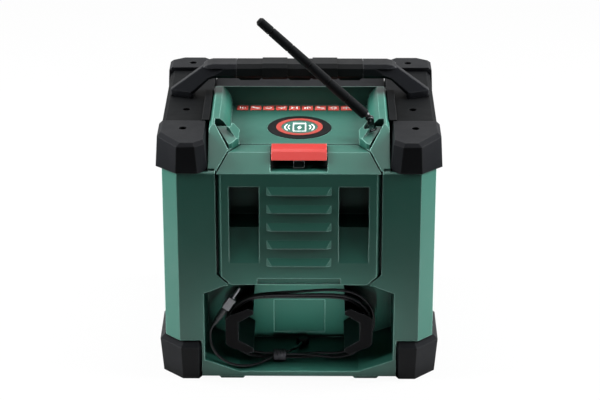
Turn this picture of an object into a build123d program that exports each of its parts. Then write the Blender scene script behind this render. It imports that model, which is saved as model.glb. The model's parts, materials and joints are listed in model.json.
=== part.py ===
from build123d import *
import os
from math import hypot, radians, sin, cos

# Jobsite radio. Millimetres. +X right and +Y forward as seen from behind the radio, +Z up.
# The battery door and the cord bay face -Y, the loudspeakers face +Y.
# Origin: centre of the footprint, on the floor.

# ---- driving dimensions: housing ----
body_width = 276.0
body_depth = 260.0
deck_z = 264.0
corner_chamfer = 15.3
wall = 3.0
part_gap = 0.3
running_gap = 0.05
body_bottom_z = 2.5
split_y = 31.0
crown_edge_chamfer = 3.0
slope_steepness = 0.745

# reference planes: the body's right side, rear and front
side_x = body_width / 2
rear_y = -body_depth / 2
far_end_y = body_depth / 2

crown_half_width = side_x - 46.7
rail_seat_z = deck_z - 24.0
bumper_seat_z = deck_z - 34.0
slope_low_z = deck_z - 35.0
ledge_depth = 5.0
ledge_rise = 1.6

# ---- bumpers and side rails ----
bumper_proud_side = 5.0
bumper_proud_end = 3.0
bumper_chamfer = 22.0
bumper_wall = 6.0
bottom_bumper_height = 43.0
bottom_bumper_bevel = 6.5
bottom_bumper_flare = 1.2
bottom_bumper_taper = 1.8
bottom_bumper_inner_x = side_x - 37.5
bottom_bumper_length = 86.0
bottom_inner_cut_x = 3.0
bottom_inner_cut_y = 6.0
bumper_floor = 5.0
bumper_top_z = deck_z - 2.0
top_bumper_inner_x = side_x - 43.8
top_bumper_taper = 2.3
top_bumper_flare = 1.2
top_bumper_bevel = 3.5
top_bumper_roof = 7.0
corner_cut_x = 21.0
corner_cut_low_y = 20.0
corner_cut_high_y = 30.0
front_cut_x = 12.0
front_cut_y = 8.0
inner_corner = 9.5
rear_bumper_front_y = rear_y + 62.5
front_bumper_rear_y = far_end_y - 33.2
rail_top_z = deck_z - 6.0
rail_outer_x = side_x + 3.0
rail_bevel = 4.0
rail_lip_x = crown_half_width + 0.6
rail_lip_width = 7.5
rail_lip_z = deck_z - 1.0
rail_lip_end_y = split_y - 3.0
bumper_screw_x = side_x - 20.5
rear_screw_y = rear_y + 41.1
front_screw_y = far_end_y - 18.0
rail_screw_rear_y = rear_bumper_front_y + 43.9
rail_screw_front_y = front_bumper_rear_y - 30.8
bumper_screw_radius = 2.0
screw_head_radius = 3.7
screw_head_height = 2.6
screw_shank_length = 34.0
bumper_screw_sink = 9.0
rail_screw_sink = 6.0
screw_clearance = 0.2
screw_post_radius = 5.0
screw_post_length = 22.0
rail_screw_length = 24.0

# ---- handle ----
handle_y = 21.0
handle_foot_outer_x = side_x - 2.0
handle_foot_inner_x = side_x - 26.0
handle_shoulder_x = side_x - 40.7
handle_crook_x = side_x - 42.4
handle_top_z = deck_z + 31.5
handle_shoulder_z = handle_top_z - 1.4
handle_under_z = handle_top_z - 16.0
handle_crook_z = handle_under_z - 1.6
handle_foot_rise = 7.0
handle_depth = 26.0
handle_bevel = 4.0
leg_ridge_half = 3.0
grip_half_length = handle_crook_x - 29.6
grip_wall = 1.6
grip_ring_proud = 0.8
grip_pad_drop = 2.0
grip_pad_length = 26.0
grip_pad_pitch = 52.5

# ---- top tray ----
tray_floor_z = deck_z - 19.5
tray_rim_half = crown_half_width - 9.8
tray_floor_half = tray_rim_half - 10.0
tray_wall_swell = 2.6
tray_far_rim_y = split_y - 1.5
tray_far_floor_y = tray_far_rim_y - 3.5
cheek_end_y = rear_y + 64.0
recess_side_x = crown_half_width - 5.3
recess_rear_y = rear_y + 46.0
tray_plate = 3.0
disc_centre_y = rear_y + 89.0
disc_radius = 32.75
disc_seat_depth = 1.8
disc_proud = 0.6
ring_outer_radius = 24.0
ring_inner_radius = 19.0
ring_proud = 0.5
coil_radius = 24.0
coil_bore_radius = 10.0
coil_thick = 2.0
coil_seat_depth = 2.6
tab_count = 9
tab_side_margin = 9.85
tab_pitch = 2 * (tray_floor_half - tab_side_margin) / tab_count
tab_length = tab_pitch - 2.1
tab_width = 12.5
tab_thick = 0.6
tab_row_x = -5.6
tab_row_y = tray_far_floor_y - 10.2

# ---- antenna ----
antenna_x = crown_half_width - 18.8
antenna_y = cheek_end_y - 9.0
antenna_hinge_z = deck_z + 2.3
antenna_lean = 47.0
mast_length = 155.0
mast_root_radius = 5.4
mast_tip_radius = 4.6
mast_start = 7.5
mast_groove_pitch = 26.0
mast_groove_depth = 0.7
mast_groove_width = 1.6
post_radius = 3.0
fork_radius = 3.4
fork_ear = 2.0
tongue_thick = 2.6
tongue_gap = 0.15
antenna_pin_radius = 1.0
antenna_pocket_z = deck_z - 10.0
bar_width = 10.2
bar_far_z = deck_z - 5.5
bar_near_z = deck_z - 14.0
slot_width = 5.0
cheek_corner_drop = 9.7
cheek_near_drop = 14.0

# ---- battery door ----
door_y = rear_y - 0.5
door_skin = 3.0
door_edge = 5.0
door_low_z = 107.0
door_half_width = crown_half_width - 9.1
door_low_half = door_half_width - 13.2
door_corner_z = door_low_z + 11.9
door_joint_z = slope_low_z
ridge_y = rear_y + 20.0
ridge_z = deck_z - 19.7
ridge_half = door_half_width - 12.3
strip_end_y = ridge_y + 20.7
strip_end_half = ridge_half - 11.3
door_side_bevel = 4.0
door_rim = 4.5
door_gap = 1.7
gasket_depth = 5.3
gasket_thick = 1.2
flange_depth = 6.8
flange_thick = 3.0
flange_reach = 4.0
hinge_y = door_y + 3.2
hinge_z = door_low_z + 0.4
hinge_pin_radius = 0.9
hinge_skin = 1.2
hinge_sweep = 3.7
hinge_sweep_half = door_low_half + 3.6
hinge_lug_x = door_low_half - 9.0
hinge_lug_width = 6.0
hinge_knuckle_radius = 1.7
pocket_outer_x = door_half_width - 11.6
pocket_width = 30.4
pocket_inner_x = pocket_outer_x - pocket_width
pocket_top_z = deck_z - 49.1
pocket_step_z = pocket_top_z - 46.4
pocket_low_z = door_low_z + 24.4
pocket_depth = 25.0
pocket_ramp_depth = 6.0
pocket_floor_rise = 7.0
pocket_wall = 2.4
louvre_half_width = pocket_inner_x - 7.6
louvre_top_z = pocket_top_z
louvre_pitch = 19.5
louvre_height = 8.7
louvre_proud = 2.5
louvre_end_slant = 5.0
groove_half = 42.3
groove_low_z = door_low_z + 1.0
groove_high_z = door_low_z + 7.0
groove_depth = 1.8
louvre_count = 1 + int((louvre_top_z - louvre_height - groove_high_z) / louvre_pitch)

# ---- door latch ----
latch_half_width = 27.8
latch_gap = 0.8
latch_low_z = ridge_z - 4.5
latch_rear_y = strip_end_y - 2.7
latch_proud = 3.2
latch_bevel = 2.4
latch_pivot_y = ridge_y + 4.0
latch_pivot_z = ridge_z - 3.7
latch_pin_radius = 1.5
latch_barrel_radius = 2.8
latch_pocket_depth = 8.0
latch_pocket_low_z = ridge_z - 13.9
latch_pocket_wall = 2.4
nose_half_width = 11.5
nose_thick = 1.8
nose_reach = 3.8
nose_swing = 7.0

# ---- battery bay ----
bay_half_width = crown_half_width - 13.8
bay_back_y = rear_y + 82.0
bay_floor_z = door_low_z + 2.0
bay_top_z = deck_z - 26.0
bay_front_plate_y = rear_y + 5.5
bay_slope_drop = 10.0
nose_top_z = bay_top_z - 0.4
rail_spacing = 74.0
cradle_plate = 2.5
cradle_margin = 10.0
cradle_head = 18.0
battery_rail_low_z = bay_floor_z + 7.0
battery_rail_length = bay_top_z - bay_floor_z - 37.0
battery_rail_height = 9.5
battery_rail_hook = 6.0
battery_rail_web = 3.5
battery_rail_lip = 3.0
terminal_width = 46.0
terminal_height = 26.0
terminal_depth = 14.0
terminal_head = 10.0
terminal_roof = 5.0
slot_clearance = 0.5
blade_thick = 1.0
blade_sink = 2.0
blade_tail = 6.0
blade_count = 4

# ---- cord bay ----
cord_bay_half = side_x - 40.7
cord_bay_top_z = door_low_z - 1.5
cord_bay_shoulder_z = cord_bay_top_z - 8.9
cord_bay_shoulder_x = cord_bay_half - 21.2
cord_bay_sill_x = cord_bay_half - 35.5
cord_bay_corner_z = 21.0
cord_bay_floor_z = 8.0
cord_bay_back_y = rear_y + 80.0
back_panel_half = 27.0
back_panel_low_z = 14.0
back_panel_high_z = 52.0
foot_outer_x = side_x - 54.3
foot_inner_x = foot_outer_x - 29.1
foot_taper = 3.2
foot_depth = 15.0

# ---- winding hooks ----
hook_outer_x = cord_bay_half - 21.3
hook_inner_x = hook_outer_x - 13.1
hook_tip_x = hook_outer_x - 28.8
hook_mid_z = 47.3
hook_straight_half = 10.0
hook_side_half = 14.2
hook_corner_cut = 3.6
hook_tip_inner = 19.6
hook_tip_outer = 25.8
hook_tip_cut_x = 5.5
hook_tip_cut_z = 2.4
hook_front_y = rear_y + 13.0
hook_flange = 3.0
hook_rear_y = rear_y + 38.0
hook_wall = 3.4

# ---- AUX lead ----
lead_radius = 1.5
coil_mid_z = 47.5
coil_inner_end_radius = 30.5
coil_band = 6.0
coil_half_straight = 39.5
coil_rear_y = rear_y + 31.0
coil_depth = 8.0
strap_x = -20.5
strap_width = 13.0
strap_thick = 1.3
grommet_x = 3.5
grommet_y = cord_bay_back_y - 14.0
grommet_radius = 7.0
grommet_height = 6.0
nozzle_length = 7.0
plug_length = 21.0
plug_radius = 3.4
boot_length = 6.0
collar_length = 13.0
collar_width = 7.6
pin_length = 14.0
pin_radius = 1.75
pin_tip_length = 2.0

# ---- front ----
front_face_y = far_end_y - 4.0
front_crown_low_z = deck_z - 18.0
scoop_z = deck_z - 15.0
scoop_rim = 3.0
scoop_run = 10.0
panel_half_width = side_x - 25.0
panel_low_z = 36.0
panel_high_z = deck_z - 40.0
panel_thick = 4.0
panel_seat = 8.0
panel_corner = 14.0
panel_lip = 8.0
display_half_width = 43.0
display_high_z = panel_high_z - 14.0
display_low_z = display_high_z - 38.0
display_margin = 3.0
window_thick = 1.6
window_gap = 0.2
button_count = 5
button_pitch = 24.0
button_width = 17.0
button_height = 9.0
button_z = display_low_z - 13.0
button_gap = 0.35
button_proud = 2.0
button_flange = 1.5
knob_x = panel_half_width - 31.0
knob_z = panel_high_z - 34.0
knob_radius = 18.0
knob_height = 9.0
knob_clearance = 0.6
knob_notches = 12
knob_notch_radius = 1.6
knob_notch_stop = 3.0
shaft_radius = 3.0
speaker_radius = 39.0
speaker_flange_radius = 42.0
grille_radius = 43.0
speaker_x = panel_half_width / 2 - 0.5
speaker_z = (panel_low_z + button_z - button_height / 2) / 2
grille_thick = 1.6
grille_slots = 9
grille_slot_width = 4.2
grille_slot_pitch = 8.4
board_post_x = display_half_width + 20.0
board_post_low_z = button_z - 11.0
board_post_high_z = display_high_z + 1.0
board_post_radius = 2.5
board_stand_off = 18.0
board_margin = 4.0
board_thick = 1.6

bumper_side_x = side_x + bumper_proud_side
bumper_end_y = far_end_y + bumper_proud_end
bumper_step = bumper_wall + part_gap
slope_cosine = hypot(1, slope_steepness)
latch_way = latch_half_width + latch_gap + latch_pocket_wall + 1.5
far_away = 400.0


# ---- shape helpers ----
def block(x, y, z):
    """Box between the low and high values of each axis."""
    sizes = [high - low for low, high in (x, y, z)]
    middles = [(low + high) / 2 for low, high in (x, y, z)]
    return Pos(*middles) * Box(*sizes)


def face_of(points):
    return make_face(Polyline(*points, close=True))


def prism_x(points, low, high):
    """Outline of (y, z) points drawn out along X."""
    plane = Plane(origin=(low, 0, 0), x_dir=(0, 1, 0), z_dir=(1, 0, 0))
    return extrude(plane * face_of(points), high - low, dir=(1, 0, 0))


def prism_y(points, low, high):
    """Outline of (x, z) points drawn out along Y."""
    plane = Plane(origin=(0, low, 0), x_dir=(1, 0, 0), z_dir=(0, -1, 0))
    return extrude(plane * face_of(points), high - low, dir=(0, 1, 0))


def prism_z(points, low, high):
    """Outline of (x, y) points drawn out along Z."""
    return extrude(Plane(origin=(0, 0, low)) * face_of(points), high - low, dir=(0, 0, 1))


def both_sides(points):
    """Closed outline from its right half."""
    return points + [(-across, along) for across, along in reversed(points)]


def rod_x(radius, low, high, y, z):
    return Pos((low + high) / 2, y, z) * Rot(0, 90, 0) * Cylinder(radius, high - low)


def rod_y(radius, low, high, x, z):
    return Pos(x, (low + high) / 2, z) * Rot(90, 0, 0) * Cylinder(radius, high - low)


def rod_z(radius, low, high, x, y):
    return Pos(x, y, (low + high) / 2) * Cylinder(radius, high - low)


def cone_z(low_radius, high_radius, low, high, x, y):
    return Pos(x, y, (low + high) / 2) * Cone(low_radius, high_radius, high - low)


def left(shape):
    return mirror(shape, about=Plane.YZ)


def front(shape):
    return mirror(shape, about=Plane.XZ)


def pair(shape):
    return shape + left(shape)


def slope_z(y, drop=0.0):
    """Height of the rear slope at y, less a drop straight down."""
    return slope_low_z + (y - rear_y) * slope_steepness - drop


def above_slope(drop, low_x, high_x):
    """Everything over the rear slope."""
    near = rear_y - 20
    far = split_y
    points = [(near, slope_z(near, drop)), (far, slope_z(far, drop)), (far, far_away), (near, far_away)]
    return prism_x(points, low_x, high_x)


# ---- outlines that several pieces share ----
def body_plan(inset, far_y):
    """Plan of the rear half of the body, inset from its sides."""
    chamfer_size = corner_chamfer - 0.586 * inset
    side = side_x - inset
    end = rear_y + inset
    return both_sides([(side - chamfer_size, end), (side, end + chamfer_size), (side, far_y)])


def bumper_plan(inset, inner_x, near_y):
    """Plan of the rear right corner bumper, inset from its outer faces."""
    side = bumper_side_x - inset
    end = -bumper_end_y + inset
    cut = bumper_chamfer - 0.586 * inset
    return [(inner_x, near_y), (side, near_y), (side, end + cut), (side - cut, end), (inner_x, end)]


def bottom_core(inset, low, high):
    """Column of the body that the bottom bumper wraps."""
    near_y = -bumper_end_y + bottom_bumper_length + 20
    return prism_z(bumper_plan(inset, bottom_bumper_inner_x - 20, near_y), low, high)


def bottom_corner_notch():
    """What the bottom bumper needs cut from the rear right corner of the body."""
    inner_x = bottom_bumper_inner_x - part_gap
    near_y = -bumper_end_y + bottom_bumper_length + part_gap
    top = bottom_bumper_height + part_gap
    corner = block((inner_x, side_x + 20), (-bumper_end_y - 20, near_y), (-5, top))
    return corner - bottom_core(bumper_step, bumper_floor + part_gap, top + 5)


# ---- bumpers and rails ----
def layered(sections):
    """Solid through plans given as (height, points), with flat sides between them."""
    faces = [Plane(origin=(0, 0, z)) * face_of(points) for z, points in sections]
    layers = [loft([low, high], ruled=True) for low, high in zip(faces, faces[1:])]
    return layers[0].fuse(*layers[1:]) if len(layers) > 1 else layers[0]


def bottom_bumper():
    """Rear right bottom corner, a floor and two leaning walls with a bevelled top edge."""
    near_y = -bumper_end_y + bottom_bumper_length
    sections = []
    for z, inset in (
        (0, bottom_bumper_taper),
        (bottom_bumper_height - bottom_bumper_bevel, -bottom_bumper_flare),
        (bottom_bumper_height, bumper_proud_side),
    ):
        plan = bumper_plan(inset, bottom_bumper_inner_x, near_y)
        inner_x, end = plan.pop()
        plan += [(inner_x + bottom_inner_cut_x, end), (inner_x, end + bottom_inner_cut_y)]
        sections.append((z, plan))
    return layered(sections) - bottom_core(bumper_wall, bumper_floor, bottom_bumper_height + 1)


def corner_plan(side, end, inner_x, near_y, cut_x, cut_y):
    """Plan of a top corner cap with its outer and its inner corner cut."""
    return [(inner_x, near_y), (side, near_y), (side, end + cut_y), (side - cut_x, end),
            (inner_x + inner_corner, end), (inner_x, end + inner_corner)]


def top_bumper(near_y, screw_y, cut_x, cut_low_y, cut_high_y):
    """Top corner cap at the rear right, hollow below, with a boss for its screw."""
    low_z = bumper_seat_z + part_gap
    side = bumper_side_x
    end = -bumper_end_y
    inner_x = top_bumper_inner_x
    bevel = top_bumper_bevel
    solid = layered([
        (low_z, corner_plan(side + top_bumper_flare, end, inner_x - top_bumper_taper, near_y, cut_x, cut_low_y)),
        (bumper_top_z - bevel, corner_plan(side, end, inner_x, near_y, cut_x, cut_high_y)),
        (bumper_top_z, corner_plan(side - bevel, end + bevel, inner_x + bevel / 2, near_y, cut_x, cut_high_y)),
    ])
    hollow_plan = corner_plan(side - bumper_wall, end + bumper_wall, inner_x + bumper_wall,
                              near_y - bumper_wall, cut_x, cut_high_y)
    hollow = prism_z(hollow_plan, low_z - 1, bumper_top_z - top_bumper_roof)
    hollow -= rod_z(screw_head_radius + 3, low_z - 1, deck_z, bumper_screw_x, screw_y)
    solid -= hollow
    solid -= rod_z(bumper_screw_radius + screw_clearance, low_z - 1, deck_z, bumper_screw_x, screw_y)
    head_seat = bumper_top_z - screw_head_height - bumper_screw_sink
    return solid - rod_z(screw_head_radius + part_gap, head_seat, deck_z, bumper_screw_x, screw_y)


def side_rail():
    """Right rail between the top bumpers, with a lip beside the tray."""
    near_y = rear_bumper_front_y + part_gap
    far_y = front_bumper_rear_y - part_gap
    low = rail_seat_z + part_gap
    outline = [
        (rail_lip_x, low),
        (rail_outer_x, low),
        (rail_outer_x, rail_top_z - rail_bevel),
        (rail_outer_x - rail_bevel, rail_top_z),
        (rail_lip_x, rail_top_z),
    ]
    solid = prism_y(outline, near_y, far_y)
    rise = rail_lip_z - rail_top_z
    lip_line = [(near_y, rail_top_z - 1), (near_y, rail_lip_z), (rail_lip_end_y - rise, rail_lip_z),
                (rail_lip_end_y, rail_lip_z - rise / 2), (rail_lip_end_y, rail_top_z - 1)]
    solid += prism_x(lip_line, rail_lip_x, rail_lip_x + rail_lip_width)
    for y in (rail_screw_rear_y, rail_screw_front_y):
        solid -= rod_z(bumper_screw_radius + screw_clearance, low - 1, rail_top_z + 1, bumper_screw_x, y)
        head_seat = rail_top_z - screw_head_height - rail_screw_sink
        solid -= rod_z(screw_head_radius + part_gap, head_seat, rail_top_z + 1, bumper_screw_x, y)
    return solid


def screw(x, y, head_top, shank_length):
    """Pan head screw pointing down, with a plain recess."""
    head_low = head_top - screw_head_height
    head = rod_z(screw_head_radius, head_low, head_top, x, y)
    head -= rod_z(1.4, head_top - 1.4, head_top + 1, x, y)
    return head + rod_z(bumper_screw_radius, head_low - shank_length, head_low, x, y)


def bumper_screws():
    screws = []
    for y in (rear_screw_y, front_screw_y):
        screws.append(screw(bumper_screw_x, y, bumper_top_z - bumper_screw_sink, screw_shank_length))
    for y in (rail_screw_rear_y, rail_screw_front_y):
        screws.append(screw(bumper_screw_x, y, rail_top_z - rail_screw_sink, rail_screw_length))
    return screws + [left(piece) for piece in screws]


# ---- carrying handle ----
def handle_outline():
    half = [
        (handle_foot_inner_x, rail_top_z + part_gap),
        (handle_foot_outer_x, rail_top_z + part_gap),
        (handle_foot_outer_x, rail_top_z + handle_foot_rise),
        (handle_shoulder_x, handle_shoulder_z),
        (handle_shoulder_x - 6, handle_top_z),
    ]
    inner = [
        (-handle_foot_inner_x, rail_top_z + 4),
        (-handle_crook_x, handle_crook_z),
        (-handle_crook_x + 5, handle_under_z),
    ]
    outer = both_sides(half)
    return outer + inner + [(-x, z) for x, z in reversed(inner)]


def leg_corner_cuts():
    """Wedges that narrow the outer side of the right leg to a ridge, along foot and leg."""
    reach = handle_depth / 2 + 1
    knee_z = rail_top_z + handle_foot_rise
    lean_x = handle_shoulder_x - handle_foot_outer_x
    lean_z = handle_shoulder_z - knee_z
    wedges = []
    for side in (-1, 1):
        corner = [(handle_foot_inner_x, handle_y + side * reach), (handle_foot_outer_x + 1, handle_y + side * reach),
                  (handle_foot_outer_x + 1, handle_y + side * leg_ridge_half)]
        wedges.append(prism_z(corner, rail_top_z, knee_z))
        start = Plane(origin=(0, 0, knee_z)) * face_of(corner)
        wedges.append(extrude(start, hypot(lean_x, lean_z) * 0.9, dir=(lean_x, 0, lean_z)))
    return wedges


def handle():
    """Two legs and a bar, bevelled all along, thinned where the grip sits."""
    reach = handle_depth / 2
    solid = prism_y(handle_outline(), handle_y - reach, handle_y + reach)
    long_edges = solid.faces().sort_by(Axis.Y)[0].edges() + solid.faces().sort_by(Axis.Y)[-1].edges()
    bevelled = [edge for edge in long_edges if edge.center().Z > rail_top_z + 2]
    solid = chamfer(bevelled, handle_bevel)
    for wedge in leg_corner_cuts():
        solid -= pair(wedge)
    seat_half = grip_half_length + part_gap
    window = block((-seat_half, seat_half), (handle_y - reach - 1, handle_y + reach + 1),
                   (handle_under_z - 5, handle_top_z + 5))
    return solid - (window - grip_section(-seat_half, seat_half, -grip_wall - part_gap))


def grip_section(low, high, grow):
    """Octagonal stretch of the bar, grown outwards."""
    near = handle_y - handle_depth / 2 - grow
    far = handle_y + handle_depth / 2 + grow
    bottom = handle_under_z - grow
    top = handle_top_z + grow
    cut = handle_bevel
    points = [
        (near + cut, bottom), (far - cut, bottom), (far, bottom + cut), (far, top - cut),
        (far - cut, top), (near + cut, top), (near, top - cut), (near, bottom + cut),
    ]
    return prism_x(points, low, high)


def handle_grip():
    """Soft sleeve on the bar, with two raised rings and three finger pads below."""
    sleeve = grip_section(-grip_half_length, grip_half_length, 0)
    for side in (-1, 1):
        middle = side * grip_pad_pitch / 2
        half = grip_pad_length / 2
        sleeve += grip_section(middle - half, middle + half, grip_ring_proud)
    for place in (-1, 0, 1):
        middle = place * grip_pad_pitch
        half = grip_pad_length / 2
        low = max(middle - half, -grip_half_length)
        high = min(middle + half, grip_half_length)
        pad = [(low, handle_under_z + 1), (high, handle_under_z + 1),
               (high - 3, handle_under_z - grip_pad_drop), (low + 3, handle_under_z - grip_pad_drop)]
        half_width = handle_depth / 2 - handle_bevel
        sleeve += prism_y(pad, handle_y - half_width, handle_y + half_width)
    return sleeve - grip_section(-grip_half_length - 5, grip_half_length + 5, -grip_wall)


# ---- battery door outline, shared by the door, its gasket and its frame ----
def door_line(depth):
    """Side view (y, z) of the door's face, sunk by a depth."""
    face_y = door_y + depth
    joint_z = ridge_z + slope_steepness * (face_y - ridge_y) - depth * slope_cosine
    turn_y = ridge_y + depth * (slope_cosine - 1) / slope_steepness
    low_z = door_low_z - 17
    far_y = strip_end_y + 9.3
    return [(face_y, low_z), (face_y, joint_z), (turn_y, ridge_z - depth), (far_y, ridge_z - depth)]


def door_layer(shallow, deep):
    """Slab between two depths under the door's face."""
    return prism_x(door_line(shallow) + door_line(deep)[::-1], -side_x, side_x)


def door_region(grow):
    """Column of the door as seen from behind and from above, grown all round."""
    face = [
        (door_low_half + 0.4 * grow, door_low_z - grow),
        (door_half_width + grow, door_corner_z - 0.4 * grow),
        (door_half_width + grow, door_joint_z + max(grow, 0)),
    ]
    plan = [
        (door_half_width + grow, rear_y - 20),
        (door_half_width + grow, rear_y + 0.4),
        (ridge_half + 1.16 * grow, ridge_y + 1.6),
        (strip_end_half + 1.16 * grow, strip_end_y + grow),
    ]
    upper = prism_z(both_sides(plan), door_joint_z, deck_z + 20)
    return prism_y(both_sides(face), rear_y - 20, strip_end_y + 9.3) + upper


def latch_pocket(grow):
    """Hollow under the latch, cut down through the door's slope."""
    depth = latch_pocket_depth + grow
    half = latch_half_width + latch_gap + grow
    window = block((-half, half), (rear_y - 10, latch_rear_y + latch_gap + min(grow, 0.4)),
                   (latch_pocket_low_z - grow, deck_z + 16))
    return door_layer(-4 if grow == 0 else 0, depth) & window


def pocket_profile(grow):
    """Side view of a finger pocket: a ramp, then a deep well."""
    face = door_y - 2 if grow == 0 else door_y
    well = door_y + pocket_depth + grow
    ramp = door_y + pocket_ramp_depth + grow
    return [
        (face, pocket_low_z - grow),
        (door_y + 0.01 + grow, pocket_low_z - grow),
        (ramp, pocket_step_z - grow),
        (well, pocket_step_z + pocket_floor_rise - grow),
        (well, pocket_top_z + grow),
        (face, pocket_top_z + grow),
    ]


def louvre(top):
    """Wedge rib with slanted ends, standing out most at its lower lip."""
    low = top - louvre_height
    points = [(door_y + 1, top), (door_y, top), (door_y - louvre_proud, low + 1.2),
              (door_y - louvre_proud, low), (door_y + 1, low)]
    rib = prism_x(points, -louvre_half_width, louvre_half_width)
    for side in (-1, 1):
        end = side * louvre_half_width
        tip = [(end, door_y), (end - side * louvre_end_slant, door_y - louvre_proud - 0.1),
               (end + side, door_y - louvre_proud - 0.1), (end + side, door_y)]
        rib -= prism_z(tip, low - 1, top + 1)
    return rib


def hinge_ear(side, step):
    """Knuckle of the door on one side of a lug."""
    near = hinge_lug_x + step * (hinge_lug_width / 2 + part_gap)
    low, high = sorted((side * near, side * (near + step * 4)))
    ear = rod_x(hinge_knuckle_radius, low, high, hinge_y, hinge_z)
    return ear + block((low, high), (door_y + 1, hinge_y + hinge_knuckle_radius),
                       (hinge_z, hinge_z + 3))


def battery_door():
    solid = door_layer(0, door_skin) & door_region(0)
    rim = door_layer(0, door_edge) & door_region(0)
    solid += rim - door_region(-door_rim)
    bevel = [(door_half_width - door_side_bevel, door_y - 0.5),
             (door_half_width + 1, door_y - 0.5),
             (door_half_width + 1, door_y + door_side_bevel + 0.5)]
    solid -= pair(prism_z(bevel, door_low_z - 17, door_joint_z - 0.5))
    well = prism_x(pocket_profile(pocket_wall), pocket_inner_x - pocket_wall, pocket_outer_x + pocket_wall)
    hollow = prism_x(pocket_profile(0), pocket_inner_x, pocket_outer_x)
    solid += pair(well)
    solid -= pair(hollow)
    for index in range(louvre_count):
        solid += louvre(louvre_top_z - index * louvre_pitch)
    solid -= block((-groove_half, groove_half), (door_y - 1, door_y + groove_depth), (groove_low_z, groove_high_z))
    notch_half = hinge_lug_width / 2 + part_gap
    solid -= pair(block((hinge_lug_x - notch_half, hinge_lug_x + notch_half),
                        (door_y + hinge_skin, hinge_y + 10),
                        (0, hinge_z + hinge_knuckle_radius + part_gap)))
    for side in (-1, 1):
        solid += hinge_ear(side, -1) + hinge_ear(side, 1)
    solid += latch_pocket(latch_pocket_wall) & door_region(0)
    solid -= latch_pocket(0)
    nose_way = nose_half_width + latch_gap
    swing_low_z = ridge_z - latch_pocket_depth - latch_pocket_wall - 1
    solid -= block((-nose_way, nose_way), (latch_rear_y - nose_swing, strip_end_y + 1),
                   (swing_low_z, nose_top_z + nose_swing))
    reach = latch_half_width + latch_gap + latch_pocket_wall
    solid -= rod_x(latch_pin_radius + running_gap, -reach + 0.4, reach - 0.4, latch_pivot_y, latch_pivot_z)
    bore_end = hinge_lug_x + hinge_lug_width + 2
    solid -= rod_x(hinge_pin_radius + running_gap, -bore_end, bore_end, hinge_y, hinge_z)
    return solid


def hinge_pins():
    half = hinge_lug_width / 2 + part_gap + 4
    pin = rod_x(hinge_pin_radius, hinge_lug_x - half, hinge_lug_x + half, hinge_y, hinge_z)
    return [pin, left(pin)]


def gasket():
    ring = door_layer(gasket_depth, gasket_depth + gasket_thick)
    ring = ring & (door_region(-0.5) - door_region(-flange_reach + 0.5))
    ring -= block((-latch_way, latch_way), (latch_rear_y - 5, strip_end_y + 9), (door_joint_z, deck_z))
    return ring - block((-side_x, side_x), (rear_y - 20, 0), (0, door_corner_z))


def latch():
    """Red lever over the ridge, with a pivot barrel below and a nose at its far end."""
    half = latch_half_width
    window = block((-half, half), (rear_y - 10, latch_rear_y), (latch_low_z, deck_z + 16))
    cap = door_layer(-latch_proud, 0.6) & window
    solid = cap + rod_x(latch_barrel_radius, -half, half, latch_pivot_y, latch_pivot_z)
    web = block((-half + 8, half - 8), (latch_pivot_y - 1.4, latch_pivot_y + 2.4), (latch_pivot_z, ridge_z))
    stem = block((-nose_half_width, nose_half_width), (latch_rear_y - 3, latch_rear_y),
                 (nose_top_z - nose_thick, ridge_z))
    nose = block((-nose_half_width, nose_half_width), (latch_rear_y - 3, strip_end_y + nose_reach),
                 (nose_top_z - nose_thick, nose_top_z))
    solid += web + stem + nose
    top_face = solid.faces().sort_by(Axis.Z)[-1]
    solid = chamfer(top_face.edges().filter_by(Axis.X), latch_bevel)
    return solid - rod_x(latch_pin_radius + running_gap, -half - 1, half + 1, latch_pivot_y, latch_pivot_z)


def latch_pin():
    reach = latch_half_width + latch_gap + 1.6
    return rod_x(latch_pin_radius, -reach, reach, latch_pivot_y, latch_pivot_z)


# ---- rear housing ----
def with_screw_posts(solid, places):
    """Adds a bored post below each seat that a screw enters."""
    for y, top in places:
        low = top - screw_post_length
        solid += pair(rod_z(screw_post_radius, low, top, bumper_screw_x, y))
        solid -= pair(rod_z(bumper_screw_radius + screw_clearance, low, top + 1, bumper_screw_x, y))
    return solid


def rear_mass(inset, far_y):
    """Outside of the rear half, or the same inset for its cavity."""
    lower = prism_z(body_plan(inset, far_y), body_bottom_z + inset, bumper_seat_z - inset)
    shoulder_y = rear_bumper_front_y + part_gap + inset
    low_z = bumper_seat_z - 30
    shoulder = block((-side_x + inset, side_x - inset), (shoulder_y, far_y), (low_z, rail_seat_z - inset))
    half = crown_half_width - inset
    crown = block((-half, half), (rear_y + inset, far_y), (low_z, deck_z - inset))
    if inset == 0:
        top_edges = [edge for edge in crown.edges() if edge.center().Z > deck_z - 1 and abs(edge.center().X) > 50]
        crown = chamfer(top_edges, crown_edge_chamfer)
    return lower + shoulder + crown - above_slope(inset * slope_cosine, -side_x, side_x)


def rear_cavity():
    far_y = split_y + 1
    roomy = rear_mass(wall, far_y)
    step_z = bottom_bumper_height + wall + part_gap
    base = prism_z(body_plan(0, far_y), body_bottom_z + wall, step_z)
    narrow = bottom_core(bumper_step + wall, bumper_floor + wall + part_gap, step_z + 1)
    narrow += block((0, bottom_bumper_inner_x - wall - 1), (rear_y + wall, far_y), (body_bottom_z + wall, step_z + 1))
    narrow += block((0, side_x - wall), (rear_y + bottom_bumper_length + wall, far_y), (body_bottom_z + wall, step_z + 1))
    roomy -= base - pair(narrow)
    roomy -= battery_bay(wall) + cord_bay(wall)
    roomy -= door_layer(0, flange_depth + flange_thick) & door_region(door_gap + wall)
    roomy -= block((-side_x, side_x), (rear_y, far_y), (tray_floor_z - tray_plate, deck_z))
    boss_low = tray_floor_z - disc_seat_depth - coil_seat_depth - 2
    roomy -= rod_z(coil_radius + wall, boss_low, tray_floor_z, 0, disc_centre_y)
    return roomy


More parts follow.
